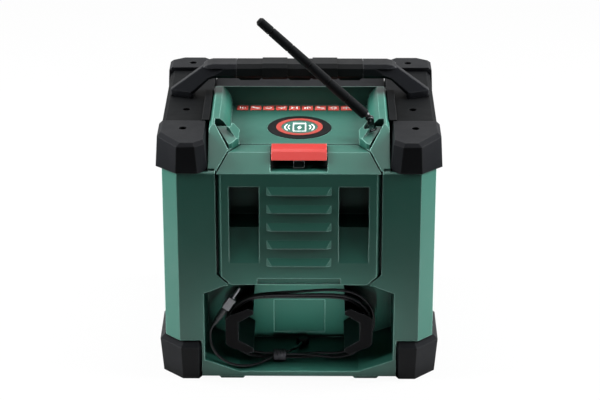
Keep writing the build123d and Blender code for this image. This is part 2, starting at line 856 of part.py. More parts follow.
def battery_bay(grow):
    half = bay_half_width + grow
    space = block((-half, half), (rear_y + 2, bay_back_y + grow), (bay_floor_z - grow, bay_top_z + grow))
    return space - above_slope(bay_slope_drop - grow, -side_x, side_x)


def cord_bay(grow):
    half = [
        (cord_bay_sill_x, cord_bay_floor_z - grow),
        (cord_bay_half + grow, cord_bay_corner_z - 0.5 * grow),
        (cord_bay_half + grow, cord_bay_shoulder_z + 0.5 * grow),
        (cord_bay_shoulder_x, cord_bay_top_z + grow),
    ]
    near = rear_y - 5 if grow == 0 else rear_y
    return prism_y(both_sides(half), near, cord_bay_back_y + grow)


def tray_recess():
    """Hollow of the top tray: swelling side walls, a sloped far wall and a wider rear end."""
    middle_x = (tray_floor_half + tray_rim_half) / 2 - tray_wall_swell
    middle_z = (tray_floor_z + deck_z) / 2 + tray_wall_swell / 2
    side_wall = ThreePointArc((tray_floor_half, tray_floor_z), (middle_x, middle_z), (tray_rim_half, deck_z))
    rim = Polyline((tray_rim_half, deck_z), (tray_rim_half, deck_z + 10),
                   (-tray_rim_half, deck_z + 10), (-tray_rim_half, deck_z))
    floor = Line((-tray_floor_half, tray_floor_z), (tray_floor_half, tray_floor_z))
    section = make_face([floor, side_wall, rim, mirror(side_wall, about=Plane.YZ)])
    start = Plane(origin=(0, cheek_end_y, 0), x_dir=(1, 0, 0), z_dir=(0, -1, 0))
    across = extrude(start * section, tray_far_rim_y + 10 - cheek_end_y, dir=(0, 1, 0))
    slant = (tray_far_rim_y - tray_far_floor_y) / (deck_z - tray_floor_z)
    along = prism_x([(cheek_end_y, tray_floor_z), (tray_far_floor_y, tray_floor_z),
                     (tray_far_rim_y + 10 * slant, deck_z + 10), (cheek_end_y, deck_z + 10)],
                    -tray_rim_half - 1, tray_rim_half + 1)
    inner_x = ridge_half + 1.0
    plan = [
        (inner_x - 2.4, ridge_y - 3),
        (inner_x, ridge_y + 2.6),
        (recess_side_x - 1.5, recess_rear_y),
        (recess_side_x, recess_rear_y + 3),
        (recess_side_x, cheek_end_y),
    ]
    return (across & along) + prism_z(both_sides(plan), tray_floor_z, deck_z + 10)


def end_block():
    """Right rear corner of the tray: a cheek with a slanted top and a bar in front of it."""
    low = tray_floor_z - 1
    near_y = ridge_y + 13.9
    cheek_x = ridge_half - 9.2
    bar_x = recess_side_x - 1.8
    slope_end = (ridge_half - 8.3, near_y)
    cheek = prism_z([(recess_side_x + 0.5, cheek_end_y), (tray_floor_half, cheek_end_y),
                     (cheek_x, cheek_end_y - 7.5), slope_end, (bar_x - bar_width, cheek_end_y - 11.5),
                     (recess_side_x + 0.5, cheek_end_y - 11.5)], low, deck_z)
    top = Vector(tray_floor_half + 0.5, cheek_end_y, deck_z)
    corner = Vector(cheek_x, cheek_end_y - 7.5, deck_z - cheek_corner_drop)
    near = Vector(slope_end[0], near_y, deck_z - cheek_near_drop)
    upwards = (corner - top).cross(near - top)
    over_top = Box(far_away, far_away, far_away, align=(Align.CENTER, Align.CENTER, Align.MIN))
    cheek -= Plane(origin=top, z_dir=upwards) * over_top
    slot_x = bar_x - bar_width - 4.3
    slot = block((slot_x, recess_side_x), (cheek_end_y - 11.5, cheek_end_y), (bar_near_z, deck_z + 1))
    bar = prism_z([(bar_x, cheek_end_y - slot_width), (bar_x - bar_width, cheek_end_y - slot_width / 2), slope_end,
                   (ridge_half + 1.1, near_y - 7)], low, deck_z)
    bar_line = [(cheek_end_y, bar_far_z), (near_y - 8, bar_near_z), (near_y - 8, deck_z + 1), (cheek_end_y, deck_z + 1)]
    bar -= prism_x(bar_line, 0, side_x)
    return (cheek - slot) + (bar - block((0, side_x), (cheek_end_y - slot_width, cheek_end_y), (low + 3, deck_z + 1)))


def antenna_pocket():
    pocket = cone_z(fork_radius + 2.4, fork_radius + 5, antenna_pocket_z, deck_z, antenna_x, antenna_y)
    return pocket + rod_z(post_radius + running_gap, bay_top_z - 10, deck_z, antenna_x, antenna_y)


def mast_trough():
    """Notch in the left cheek where the tip of the folded mast passes."""
    low = antenna_hinge_z - mast_root_radius - 1
    return block((-recess_side_x, -ridge_half + 12), (antenna_y - mast_root_radius - 2, cheek_end_y), (low, deck_z + 5))


def hinge_lugs():
    half = hinge_lug_width / 2
    low, high = hinge_lug_x - half, hinge_lug_x + half
    arm = block((low, high), (hinge_y, bay_front_plate_y + 1),
                (hinge_z - hinge_knuckle_radius, hinge_z + hinge_knuckle_radius))
    return pair(arm + rod_x(hinge_knuckle_radius, low, high, hinge_y, hinge_z))


def moulded_feet(end_y):
    """Two tapered feet moulded below the edge of the body."""
    inner = foot_inner_x
    outer = foot_outer_x
    points = [(inner + foot_taper, 0), (outer - foot_taper, 0), (outer, body_bottom_z + 1), (inner, body_bottom_z + 1)]
    return pair(prism_y(points, end_y + 0.5, end_y + 0.5 + foot_depth))


def rear_housing():
    """Green moulding: shell, top tray, door frame, battery bay and cord bay in one."""
    solid = rear_mass(0, split_y) - rear_cavity()
    solid -= tray_recess()
    solid += pair(end_block())
    solid -= antenna_pocket() + mast_trough()
    frame_depth = flange_depth + flange_thick
    solid -= door_layer(-20, flange_depth) & door_region(door_gap)
    solid -= door_layer(-20, bay_slope_drop + 6) & door_region(-flange_reach)
    solid -= battery_bay(0) + cord_bay(0)
    lower_way = door_low_half - 1.5
    solid -= block((-lower_way, lower_way), (rear_y - 5, bay_front_plate_y), (cord_bay_top_z - 1, bay_floor_z + frame_depth))
    sweep = rod_x(hinge_sweep, -hinge_sweep_half, hinge_sweep_half, hinge_y, hinge_z)
    solid -= sweep & block((-side_x, side_x), (rear_y - hinge_sweep, bay_front_plate_y), (0, deck_z))
    solid += hinge_lugs()
    bore_end = hinge_lug_x + hinge_lug_width / 2 + 1
    solid -= rod_x(hinge_pin_radius + running_gap, -bore_end, bore_end, hinge_y, hinge_z)
    solid -= block((-latch_way, latch_way), (latch_rear_y - 5, strip_end_y + door_gap),
                   (bay_top_z - 8, tray_floor_z - tray_plate))
    ledge_low_z = slope_low_z + ledge_rise
    ledge_x = door_half_width + door_gap + 1
    solid -= pair(block((ledge_x, crown_half_width + 1), (rear_y - 1, rear_y + ledge_depth), (ledge_low_z, deck_z)))
    back = cord_bay_back_y
    solid -= block((-back_panel_half, back_panel_half), (back - 1, back + 1.2), (back_panel_low_z, back_panel_high_z))
    solid += moulded_feet(rear_y)
    solid -= pair(bottom_corner_notch())
    disc_seat = tray_floor_z - disc_seat_depth
    solid -= rod_z(disc_radius + part_gap, disc_seat, tray_floor_z + 1, 0, disc_centre_y)
    solid -= rod_z(coil_radius + part_gap, disc_seat - coil_seat_depth, tray_floor_z + 1, 0, disc_centre_y)
    return with_screw_posts(solid, ((rear_screw_y, bumper_seat_z), (rail_screw_rear_y, rail_seat_z)))


# ---- cord bay pieces ----
def hook_flange_points():
    """Front view of the right hook's flange, a C with slanted arms."""
    upper = [
        (hook_outer_x, hook_side_half),
        (hook_outer_x - hook_corner_cut, hook_side_half + hook_corner_cut),
        (hook_tip_x + hook_tip_cut_x, hook_tip_outer),
        (hook_tip_x, hook_tip_outer - hook_tip_cut_z),
        (hook_tip_x, hook_tip_inner),
        (hook_inner_x, hook_straight_half),
    ]
    half = [(x, hook_mid_z + up) for x, up in upper]
    return half + [(x, hook_mid_z - up) for x, up in reversed(upper)]


def hook_wall_points():
    """The winding wall: a strip along the inner edge of the C."""
    inner = [(hook_tip_x, hook_tip_inner), (hook_inner_x, hook_straight_half)]
    outer = [(hook_inner_x + hook_wall, hook_straight_half - 1.5), (hook_tip_x, hook_tip_inner + 1.1 * hook_wall)]
    lower_inner = [(x, -up) for x, up in reversed(inner)]
    lower_outer = [(x, -up) for x, up in reversed(outer)]
    return [(x, hook_mid_z + up) for x, up in inner + lower_inner + lower_outer + outer]


def cord_hook():
    """Right winding hook: two flanges, the wall between them and a post to the back wall."""
    front_flange = prism_y(hook_flange_points(), hook_front_y, hook_front_y + hook_flange)
    rear_flange = prism_y(hook_flange_points(), hook_rear_y - hook_flange, hook_rear_y)
    spool = prism_y(hook_wall_points(), hook_front_y, cord_bay_back_y - part_gap)
    return front_flange + rear_flange + spool


def cord_grommet():
    low = cord_bay_floor_z + part_gap
    boot = cone_z(grommet_radius, grommet_radius - 1.5, low, low + grommet_height, grommet_x, grommet_y)
    route = [Vector(*point) for point in lead_in_route()]
    nozzle = Plane(origin=route[0], z_dir=route[1] - route[0])
    return boot + nozzle * Pos(0, 0, -nozzle_length / 2) * Cylinder(lead_radius + 1.1, nozzle_length)


def lead_in_route():
    """Points of the lead from its grommet down into the strap."""
    return [
        (2.2, coil_rear_y + 28.0, 11.5),
        (0.5, coil_rear_y + 19.0, 12.2),
        (-4.5, coil_rear_y + 8.5, 14.9),
        (-9.0, coil_rear_y + 1.5, 16.3),
        (-15.0, coil_rear_y - 4.5, 14.6),
    ]


def free_end_route():
    """Points of the lead from the strap along the bay's floor and up to the plug."""
    return [
        (-22.0, coil_rear_y - 6.0, 13.3),
        (-31.0, coil_rear_y - 9.3, 11.6),
        (-41.0, coil_rear_y - 18.5, 10.2),
        (-55.0, coil_rear_y - 25.0, 10.3),
        (-70.0, coil_rear_y - 27.0, 13.6),
        (-83.5, coil_rear_y - 26.3, 21.8),
        (-90.8, coil_rear_y - 24.0, 33.5),
        (-92.2, coil_rear_y - 21.6, 44.0),
        (-91.6, coil_rear_y - 20.2, 51.5),
        (-88.0, coil_rear_y - 19.5, 56.7),
    ]


def lead_tube(points):
    """Round lead along straight runs joined by large tangent arcs."""
    vectors = [Vector(*point) for point in points]
    radii = []
    for before, here, after in zip(vectors, vectors[1:], vectors[2:]):
        turn = (here - before).get_angle(after - here)
        run = min((here - before).length, (after - here).length)
        radii.append(0.45 * run / sin(radians(turn / 2)) * cos(radians(turn / 2)))
    path = FilletPolyline(*vectors, radius=radii)
    start = Plane(origin=path @ 0, z_dir=path % 0)
    tube = sweep(start * Circle(lead_radius), path=path)
    print("lead radii", [round(radius, 1) for radius in radii], "length", round(path.length, 1),
          "volume ratio", round(tube.volume / (3.14159265 * lead_radius ** 2 * path.length), 4))
    return tube


def lead_coil():
    """Closed oval band that holds the wound turns."""
    plane = Plane(origin=(0, coil_rear_y, coil_mid_z), x_dir=(1, 0, 0), z_dir=(0, -1, 0))
    outer_radius = coil_inner_end_radius + coil_band
    outer = SlotOverall(2 * (coil_half_straight + outer_radius), 2 * outer_radius)
    inner = SlotOverall(2 * (coil_half_straight + coil_inner_end_radius), 2 * coil_inner_end_radius)
    return extrude(plane * (outer - inner), coil_depth, dir=(0, -1, 0))


def strap():
    """Hook-and-loop band round the bottom of the coil."""
    low_x = strap_x - strap_width / 2
    high_x = strap_x + strap_width / 2
    band_low = coil_mid_z - coil_inner_end_radius - coil_band
    band_high = coil_mid_z - coil_inner_end_radius
    near_y = coil_rear_y - coil_depth - 2.5
    far_y = coil_rear_y + 1.5
    inner = block((low_x - 1, high_x + 1), (near_y, far_y), (band_low - 1.2, band_high + 1.2))
    outer = block((low_x, high_x), (near_y - strap_thick, far_y + strap_thick),
                  (band_low - 1.2 - strap_thick, band_high + 1.2 + strap_thick))
    return outer - inner


def plug_frame():
    """Frame whose Z runs along the plug, from the lead to the pin."""
    route = [Vector(*point) for point in free_end_route()]
    return Plane(origin=route[-1], z_dir=(route[-1] - route[-2]))


def plug_body():
    place = plug_frame()
    boot = Pos(0, 0, boot_length / 2) * Cone(lead_radius + 0.6, plug_radius - 0.6, boot_length)
    grip_length = plug_length - boot_length
    grip = Pos(0, 0, boot_length + grip_length / 2) * Cylinder(plug_radius, grip_length)
    return place * (boot + grip)


def plug_collar():
    middle = plug_length + collar_length / 2
    return plug_frame() * (Pos(0, 0, middle) * Box(collar_width, collar_width, collar_length))


def plug_pin():
    low = plug_length + collar_length
    shank_length = pin_length - pin_tip_length
    shank = Pos(0, 0, low + shank_length / 2) * Cylinder(pin_radius, shank_length)
    tip = Pos(0, 0, low + pin_length - pin_tip_length / 2) * Cone(pin_radius, 0.5, pin_tip_length)
    return plug_frame() * (shank + tip)


# ---- battery bay pieces ----
def battery_cradle():
    """Plate on the bay's back wall with two rails that guide a battery pack."""
    near = bay_back_y - part_gap
    half = rail_spacing / 2
    low = battery_rail_low_z
    plate = block((-half - cradle_margin, half + cradle_margin), (near - cradle_plate, near),
                  (low, low + battery_rail_length + cradle_head))
    foot = near - cradle_plate + part_gap
    tip = near - cradle_plate - battery_rail_height
    points = [(half, foot), (half, tip), (half - battery_rail_hook, tip),
              (half - battery_rail_hook, tip + battery_rail_lip),
              (half - battery_rail_web, tip + battery_rail_lip), (half - battery_rail_web, foot)]
    return plate + pair(prism_z(points, low, low + battery_rail_length))


def terminal_places():
    """Rear plane and lower edge of the terminal block."""
    near = bay_back_y - part_gap - cradle_plate - part_gap
    low = battery_rail_low_z + battery_rail_length - terminal_height + terminal_head
    return near, low


def blade_places():
    step = terminal_width / (blade_count + 1)
    return [-terminal_width / 2 + step * (index + 1) for index in range(blade_count)]


def terminal_block():
    near, low = terminal_places()
    half = terminal_width / 2
    body = block((-half, half), (near - terminal_depth, near), (low, low + terminal_height))
    slot_half = blade_thick / 2 + slot_clearance
    for x in blade_places():
        body -= block((x - slot_half, x + slot_half), (near - terminal_depth - 1, near - 2 * blade_sink),
                      (low - 1, low + terminal_height - terminal_roof))
    return body


def contact_blades():
    near, low = terminal_places()
    top = low + terminal_height - terminal_roof - 0.2
    return [block((x - blade_thick / 2, x + blade_thick / 2),
                  (near - terminal_depth + blade_sink, near - 2 * blade_sink - 0.2), (low - blade_tail, top))
            for x in blade_places()]


# ---- top tray pieces ----
def charging_disc():
    low = tray_floor_z - disc_seat_depth + part_gap
    disc = rod_z(disc_radius, low, tray_floor_z + disc_proud, 0, disc_centre_y)
    edges = disc.faces().sort_by(Axis.Z)[-1].edges()
    disc = chamfer(edges, 0.4)
    seat = tray_floor_z + disc_proud - 0.8
    return disc - rod_z(ring_outer_radius + 0.1, seat, deck_z, 0, disc_centre_y)


def charging_ring():
    low = tray_floor_z + disc_proud - 0.8
    ring = rod_z(ring_outer_radius, low, low + 0.8 + ring_proud, 0, disc_centre_y)
    return ring - rod_z(ring_inner_radius, low - 1, deck_z, 0, disc_centre_y)


def charging_plate():
    low = tray_floor_z + disc_proud - 0.8
    return rod_z(ring_inner_radius - 0.1, low, low + 0.8, 0, disc_centre_y)


def charging_coil():
    low = tray_floor_z - disc_seat_depth - coil_seat_depth + part_gap
    coil = rod_z(coil_radius, low, low + coil_thick, 0, disc_centre_y)
    return coil - rod_z(coil_bore_radius, low - 1, low + coil_thick + 1, 0, disc_centre_y)


def icon_tabs():
    tabs = []
    for index in range(tab_count):
        x = tab_row_x + (index - (tab_count - 1) / 2) * tab_pitch
        tab = block((x - tab_length / 2, x + tab_length / 2), (tab_row_y - tab_width / 2, tab_row_y + tab_width / 2),
                    (tray_floor_z, tray_floor_z + tab_thick))
        tabs.append(tab)
    return tabs


# ---- antenna ----
def antenna_post():
    """Plated post that turns in the tray's corner, with a fork on top."""
    low = bay_top_z - 3.5
    shaft = rod_z(post_radius, low, antenna_pocket_z + 2, antenna_x, antenna_y)
    shoulder = rod_z(fork_radius + 1, antenna_pocket_z + part_gap, antenna_pocket_z + 2, antenna_x, antenna_y)
    web_top = antenna_hinge_z - mast_root_radius - 1
    reach = tongue_thick / 2 + tongue_gap + fork_ear
    stem = rod_z(fork_radius, antenna_pocket_z + 1.5, web_top, antenna_x, antenna_y)
    ears = rod_y(fork_radius, antenna_y - reach, antenna_y + reach, antenna_x, antenna_hinge_z)
    ears += block((antenna_x - fork_radius, antenna_x + fork_radius), (antenna_y - reach, antenna_y + reach),
                  (antenna_pocket_z + 4, antenna_hinge_z))
    ears &= rod_z(hypot(fork_radius, reach), low, deck_z + 30, antenna_x, antenna_y)
    slot_half = tongue_thick / 2 + tongue_gap
    ears -= block((antenna_x - 20, antenna_x + 20), (antenna_y - slot_half, antenna_y + slot_half),
                  (antenna_hinge_z - 4.2, deck_z + 30))
    solid = shaft + shoulder + stem + ears
    solid -= block((antenna_x - 20, antenna_x + 20), (antenna_y - slot_half, antenna_y + slot_half),
                   (antenna_hinge_z - 4.2, deck_z + 30))
    return solid - rod_y(antenna_pin_radius + running_gap, antenna_y - 20, antenna_y + 20, antenna_x, antenna_hinge_z)


def antenna_clip():
    """Ring that keeps the post from lifting out of the tray."""
    top = bay_top_z - part_gap
    ring = rod_z(post_radius + 1.6, top - 1.6, top, antenna_x, antenna_y)
    return ring - rod_z(post_radius + running_gap, top - 3, top + 1, antenna_x, antenna_y)


def antenna_pin():
    reach = tongue_thick / 2 + tongue_gap + fork_ear
    return rod_y(antenna_pin_radius, antenna_y - reach, antenna_y + reach, antenna_x, antenna_hinge_z)


def lean(shape):
    """Tilts an upright mast piece to its lean about the fork's pin."""
    return Pos(antenna_x, antenna_y, antenna_hinge_z) * Rot(0, -antenna_lean, 0) * shape


def antenna_knuckle():
    """Flat tongue between the ears, growing into the ferrule that the mast sits on."""
    tongue = Rot(90, 0, 0) * Cylinder(3.2, tongue_thick)
    tongue += Pos(0, 0, 3) * Box(6.0, tongue_thick, 6)
    ferrule = Pos(0, 0, mast_start - 0.9) * Cylinder(4.0, 1.8)
    hole = Rot(90, 0, 0) * Cylinder(antenna_pin_radius + running_gap, 20)
    return lean(tongue + ferrule - hole)


def antenna_mast():
    """Tapered rubber mast with shallow grooves and a rounded tip."""
    top = mast_length
    slim = mast_root_radius - mast_tip_radius
    profile = [(0, mast_start + part_gap), (mast_root_radius - 0.8, mast_start + part_gap),
               (mast_root_radius, mast_start + 1.2)]
    count = int((mast_length - mast_start) / mast_groove_pitch)
    for index in range(1, count + 1):
        middle = mast_start + index * mast_groove_pitch
        if middle < top - 6:
            radius = mast_root_radius - slim * middle / mast_length
            half = mast_groove_width / 2
            profile += [(radius, middle - half), (radius - mast_groove_depth, middle - half / 2),
                        (radius - mast_groove_depth, middle + half / 2), (radius, middle + half)]
    profile += [(mast_tip_radius, top - 2.5), (mast_tip_radius - 1.6, top - 0.4), (0, top)]
    face = Plane.XZ * face_of(profile)
    return lean(revolve(face, axis=Axis.Z))


# ---- front housing ----
def front_housing():
    """Black moulding that closes the front: shell, sloped crown and a seat for the panel."""
    near_y = split_y + part_gap
    mirrored_plan = [(x, -y) for x, y in body_plan(0, -near_y)]
    inner_plan = [(x, -y) for x, y in body_plan(wall, -near_y + 1)]
    reach_y = front_face_y
    low_z = bumper_seat_z - 30
    solid = prism_z(mirrored_plan, body_bottom_z, bumper_seat_z)
    cavity = prism_z(inner_plan, body_bottom_z + wall, bumper_seat_z - wall)
    rail_end = front_bumper_rear_y - part_gap
    solid += block((-side_x, side_x), (near_y, rail_end), (low_z, rail_seat_z))
    cavity += block((-side_x + wall, side_x - wall), (near_y - 1, rail_end - wall), (low_z, rail_seat_z - wall))
    crown_line = [(near_y, low_z), (near_y, deck_z - 2), (near_y + scoop_rim, deck_z - 2),
                  (near_y + scoop_rim + scoop_run, scoop_z), (reach_y, front_crown_low_z), (reach_y, low_z)]
    solid += prism_x(crown_line, -crown_half_width, crown_half_width)
    inner_line = [(near_y - 1, low_z), (near_y - 1, scoop_z - wall),
                  (reach_y - wall, front_crown_low_z - wall), (reach_y - wall, low_z)]
    cavity += prism_x(inner_line, -crown_half_width + wall, crown_half_width - wall)
    solid -= block((-far_away, far_away), (reach_y, far_away), (-10, far_away))
    cavity -= block((-far_away, far_away), (reach_y - wall, far_away), (-10, far_away))
    cavity -= panel_shape(part_gap + wall, reach_y - panel_seat - wall, far_away)
    step_z = bottom_bumper_height + wall + part_gap
    corner = front(pair(bottom_core(bumper_step + wall, bumper_floor + wall + part_gap, step_z)))
    base = block((-far_away, far_away), (0, far_away), (-10, step_z))
    mid_x = bottom_bumper_inner_x - wall - 1
    mid = block((-mid_x, mid_x), (0, far_away), (-10, far_away))
    cavity -= base - corner - mid
    solid -= cavity
    solid -= front(pair(bottom_corner_notch()))
    solid += front(moulded_feet(-front_face_y))
    solid -= panel_shape(part_gap, front_face_y - panel_seat, front_face_y + 10)
    solid -= panel_shape(-panel_lip, front_face_y - panel_seat - 12, front_face_y + 10)
    return with_screw_posts(solid, ((rail_screw_front_y, rail_seat_z), (front_screw_y, bumper_seat_z)))


def panel_shape(grow, low_y, high_y):
    """Rounded rectangle of the control panel."""
    width = 2 * (panel_half_width + grow)
    height = panel_high_z - panel_low_z + 2 * grow
    plane = Plane(origin=(0, low_y, (panel_low_z + panel_high_z) / 2), x_dir=(1, 0, 0), z_dir=(0, -1, 0))
    return extrude(plane * RectangleRounded(width, height, panel_corner + grow), high_y - low_y, dir=(0, 1, 0))


def control_panel():
    low_y = front_face_y - panel_seat + part_gap
    high_y = low_y + panel_thick
    solid = panel_shape(0, low_y, high_y)
    solid -= block((-display_half_width, display_half_width), (low_y - 1, high_y + 1), (display_low_z, display_high_z))
    for x in button_places():
        half = button_width / 2 + button_gap
        tall = button_height / 2 + button_gap
        solid -= block((x - half, x + half), (low_y - 1, high_y + 1), (button_z - tall, button_z + tall))
    for side in (-1, 1):
        for z in (board_post_low_z, board_post_high_z):
            solid += rod_y(board_post_radius, low_y - board_stand_off, low_y, side * board_post_x, z)
        solid -= rod_y(shaft_radius + 0.6, low_y - 1, high_y + 1, side * knob_x, knob_z)
        solid -= rod_y(speaker_radius, low_y - 1, high_y + 1, side * speaker_x, speaker_z)
    return solid


def button_places():
    return [(index - (button_count - 1) / 2) * button_pitch for index in range(button_count)]


def button(x):
    flange_y = front_face_y - panel_seat
    high_y = flange_y + part_gap + panel_thick + button_proud
    half = button_width / 2
    tall = button_height / 2
    cap = block((x - half, x + half), (flange_y - 1, high_y), (button_z - tall, button_z + tall))
    cap = chamfer(cap.faces().sort_by(Axis.Y)[-1].edges(), 0.8)
    half += button_flange
    tall += button_flange
    return cap + block((x - half, x + half), (flange_y - 1.4, flange_y), (button_z - tall, button_z + tall))


def knob():
    """Right knob with a grip ring, a finger dimple and its shaft."""
    low_y = front_face_y - panel_seat + part_gap + panel_thick + knob_clearance
    high_y = low_y + knob_height
    body = rod_y(knob_radius, low_y, high_y, knob_x, knob_z)
    body = chamfer(body.faces().sort_by(Axis.Y)[-1].edges(), 1.6)
    notch_length = knob_height - knob_notch_stop
    for index in range(knob_notches):
        notch = Pos(knob_radius + 0.6, 0, 0) * Cylinder(knob_notch_radius, notch_length)
        turned = Rot(0, 360 / knob_notches * index, 0) * Rot(90, 0, 0) * notch
        body -= Pos(knob_x, low_y + notch_length / 2, knob_z) * turned
    shaft = rod_y(shaft_radius, front_face_y - panel_seat - 10, low_y + 1, knob_x, knob_z)
    return body + shaft


def encoder():
    near = front_face_y - panel_seat
    solid = block((knob_x - 8, knob_x + 8), (near - 12, near), (knob_z - 8, knob_z + 8))
    return solid - rod_y(shaft_radius + running_gap, near - 13, near + 1, knob_x, knob_z)


def display_module():
    high_y = front_face_y - panel_seat - part_gap
    half = display_half_width + display_margin
    return block((-half, half), (high_y - 6, high_y),
                 (display_low_z - display_margin, display_high_z + display_margin))


def display_window():
    low_y = front_face_y - panel_seat + part_gap
    half = display_half_width - window_gap
    return block((-half, half), (low_y, low_y + window_thick),
                 (display_low_z + window_gap, display_high_z - window_gap))


def speaker():
    """Right driver: flange, paper cone, basket and magnet as one turned piece."""
    high_y = front_face_y - panel_seat - part_gap
    cone = [
        (0, 12), (10, 12), (12, 14), (speaker_radius - 8, 4), (speaker_radius - 4, 1.5), (speaker_radius, 2),
        (speaker_flange_radius, 0), (speaker_flange_radius, 4), (speaker_radius - 2, 6),
        (24, 24), (24, 26), (28, 26), (28, 38), (0, 38),
    ]
    plane = Plane(origin=(speaker_x, high_y, speaker_z), x_dir=(1, 0, 0), z_dir=(0, 0, 1))
    face = plane * face_of([(radius, -depth) for radius, depth in cone])
    return revolve(face, axis=Axis((speaker_x, 0, speaker_z), (0, 1, 0)))


def speaker_grille():
    """Flat round grille with slots that follow its edge."""
    low_y = front_face_y - panel_seat + part_gap + panel_thick
    disc = rod_y(grille_radius, low_y, low_y + grille_thick, speaker_x, speaker_z)
    reach = speaker_radius - 4
    for index in range(grille_slots):
        rise = (index - (grille_slots - 1) / 2) * grille_slot_pitch
        half = (reach ** 2 - rise ** 2) ** 0.5 if abs(rise) < reach else 0
        if half > grille_slot_width:
            slot = block((speaker_x - half, speaker_x + half), (low_y - 1, low_y + grille_thick + 1),
                         (speaker_z + rise - grille_slot_width / 2, speaker_z + rise + grille_slot_width / 2))
            disc -= slot
    return disc


def main_board():
    """Circuit board standing behind the control panel."""
    high_y = front_face_y - panel_seat - board_stand_off
    half = board_post_x + board_margin
    return block((-half, half), (high_y - board_thick, high_y),
                 (board_post_low_z - board_margin, board_post_high_z + board_margin))


# ---- write one file per piece ----
def write_parts():
    rear_top = top_bumper(rear_bumper_front_y, rear_screw_y, corner_cut_x, corner_cut_low_y, corner_cut_high_y)
    front_top = front(top_bumper(-front_bumper_rear_y, -front_screw_y, front_cut_x, front_cut_y, front_cut_y))
    corner = bottom_bumper()
    pieces = {
        "rear_housing": rear_housing(),
        "front_housing": front_housing(),
        "side_rail_right": side_rail(),
        "side_rail_left": left(side_rail()),
        "top_bumper_rear_right": rear_top,
        "top_bumper_rear_left": left(rear_top),
        "top_bumper_front_right": front_top,
        "top_bumper_front_left": left(front_top),
        "bottom_bumper_rear_right": corner,
        "bottom_bumper_rear_left": left(corner),
        "bottom_bumper_front_right": front(corner),
        "bottom_bumper_front_left": left(front(corner)),
        "bumper_screws": bumper_screws(),
        "handle": handle(),
        "handle_grip": handle_grip(),
        "battery_door": battery_door(),
        "door_gasket": gasket(),
        "door_hinge_pins": hinge_pins(),
        "door_latch": latch(),
        "latch_pin": latch_pin(),
        "battery_cradle": battery_cradle(),
        "terminal_block": terminal_block(),
        "contact_blades": contact_blades(),
        "charging_disc": charging_disc(),
        "charging_ring": charging_ring(),
        "charging_plate": charging_plate(),
        "charging_coil": charging_coil(),
        "icon_tabs": icon_tabs(),
        "antenna_post": antenna_post(),
        "antenna_clip": antenna_clip(),
        "antenna_pin": antenna_pin(),
        "antenna_knuckle": antenna_knuckle(),
        "antenna_mast": antenna_mast(),
        "cord_hook_right": cord_hook(),
        "cord_hook_left": left(cord_hook()),
        "cord_grommet": cord_grommet(),
        "aux_lead_in": lead_tube(lead_in_route()),
        "aux_lead_end": lead_tube(free_end_route()),
        "aux_coil": lead_coil(),
        "cord_strap": strap(),
        "plug_body": plug_body(),
        "plug_collar": plug_collar(),
        "plug_pin": plug_pin(),
        "control_panel": control_panel(),
        "display_module": display_module(),
        "display_window": display_window(),
        "speaker_right": speaker(),
        "speaker_left": left(speaker()),
        "grille_right": speaker_grille(),
        "grille_left": left(speaker_grille()),
        "encoders": [encoder(), left(encoder())],
        "tuning_knob": knob(),
        "volume_knob": left(knob()),
        "main_board": main_board(),
    }
    for index, x in enumerate(button_places()):
        pieces[f"button_{index + 1}"] = button(x)
    os.makedirs("parts", exist_ok=True)
    for name, shape in pieces.items():
        if isinstance(shape, list):
            solids = [solid for piece in shape for solid in piece.solids()]
        else:
            solids = shape.solids()
        whole = solids[0] if len(solids) == 1 else Compound(solids)
        export_step(whole, f"parts/{name}.step")
        print(name, len(solids))


write_parts()
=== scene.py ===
import json
import math

import bmesh
import bpy
from mathutils import Matrix, Vector


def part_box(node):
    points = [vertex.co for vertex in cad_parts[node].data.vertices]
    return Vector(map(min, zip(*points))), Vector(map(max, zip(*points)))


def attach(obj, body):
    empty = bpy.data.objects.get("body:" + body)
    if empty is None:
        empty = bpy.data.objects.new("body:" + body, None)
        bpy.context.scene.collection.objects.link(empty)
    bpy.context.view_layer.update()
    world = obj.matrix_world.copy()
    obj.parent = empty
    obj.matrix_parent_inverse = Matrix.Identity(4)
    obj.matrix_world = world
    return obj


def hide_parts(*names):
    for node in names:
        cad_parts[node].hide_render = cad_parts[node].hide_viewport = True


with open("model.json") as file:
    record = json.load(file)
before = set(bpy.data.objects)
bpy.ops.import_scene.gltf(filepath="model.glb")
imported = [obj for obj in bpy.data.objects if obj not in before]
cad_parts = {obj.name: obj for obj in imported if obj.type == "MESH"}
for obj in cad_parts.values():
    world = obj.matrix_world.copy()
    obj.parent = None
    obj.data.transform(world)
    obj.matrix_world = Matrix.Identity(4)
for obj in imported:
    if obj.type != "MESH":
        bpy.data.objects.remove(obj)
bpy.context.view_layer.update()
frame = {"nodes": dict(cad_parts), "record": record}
nodes = frame["nodes"]


def srgb(red, green, blue):
    """Linear colour of an 8-bit screen colour."""
    def one(value):
        value /= 255
        return value / 12.92 if value <= 0.04045 else ((value + 0.055) / 1.055) ** 2.4
    return (one(red), one(green), one(blue), 1.0)


# ---- camera ----
camera_data = bpy.data.cameras.new("camera")
camera_data.lens = 129
camera_data.sensor_width = 36
camera_data.clip_start = 0.05
camera = bpy.data.objects.new("camera", camera_data)
camera.location = (0.015, -2.1176, 1.0363)
camera.rotation_euler = (math.radians(67.2), 0, math.radians(0.4))
bpy.context.collection.objects.link(camera)
bpy.context.scene.camera = camera


# ---- AUX lead ----
# Its radius, the height of the coil's middle, and how far each round end's centre is from it, in metres.
LEAD_RADIUS = 0.0015
COIL_MID_Z = 0.0475
COIL_HALF = 0.0395

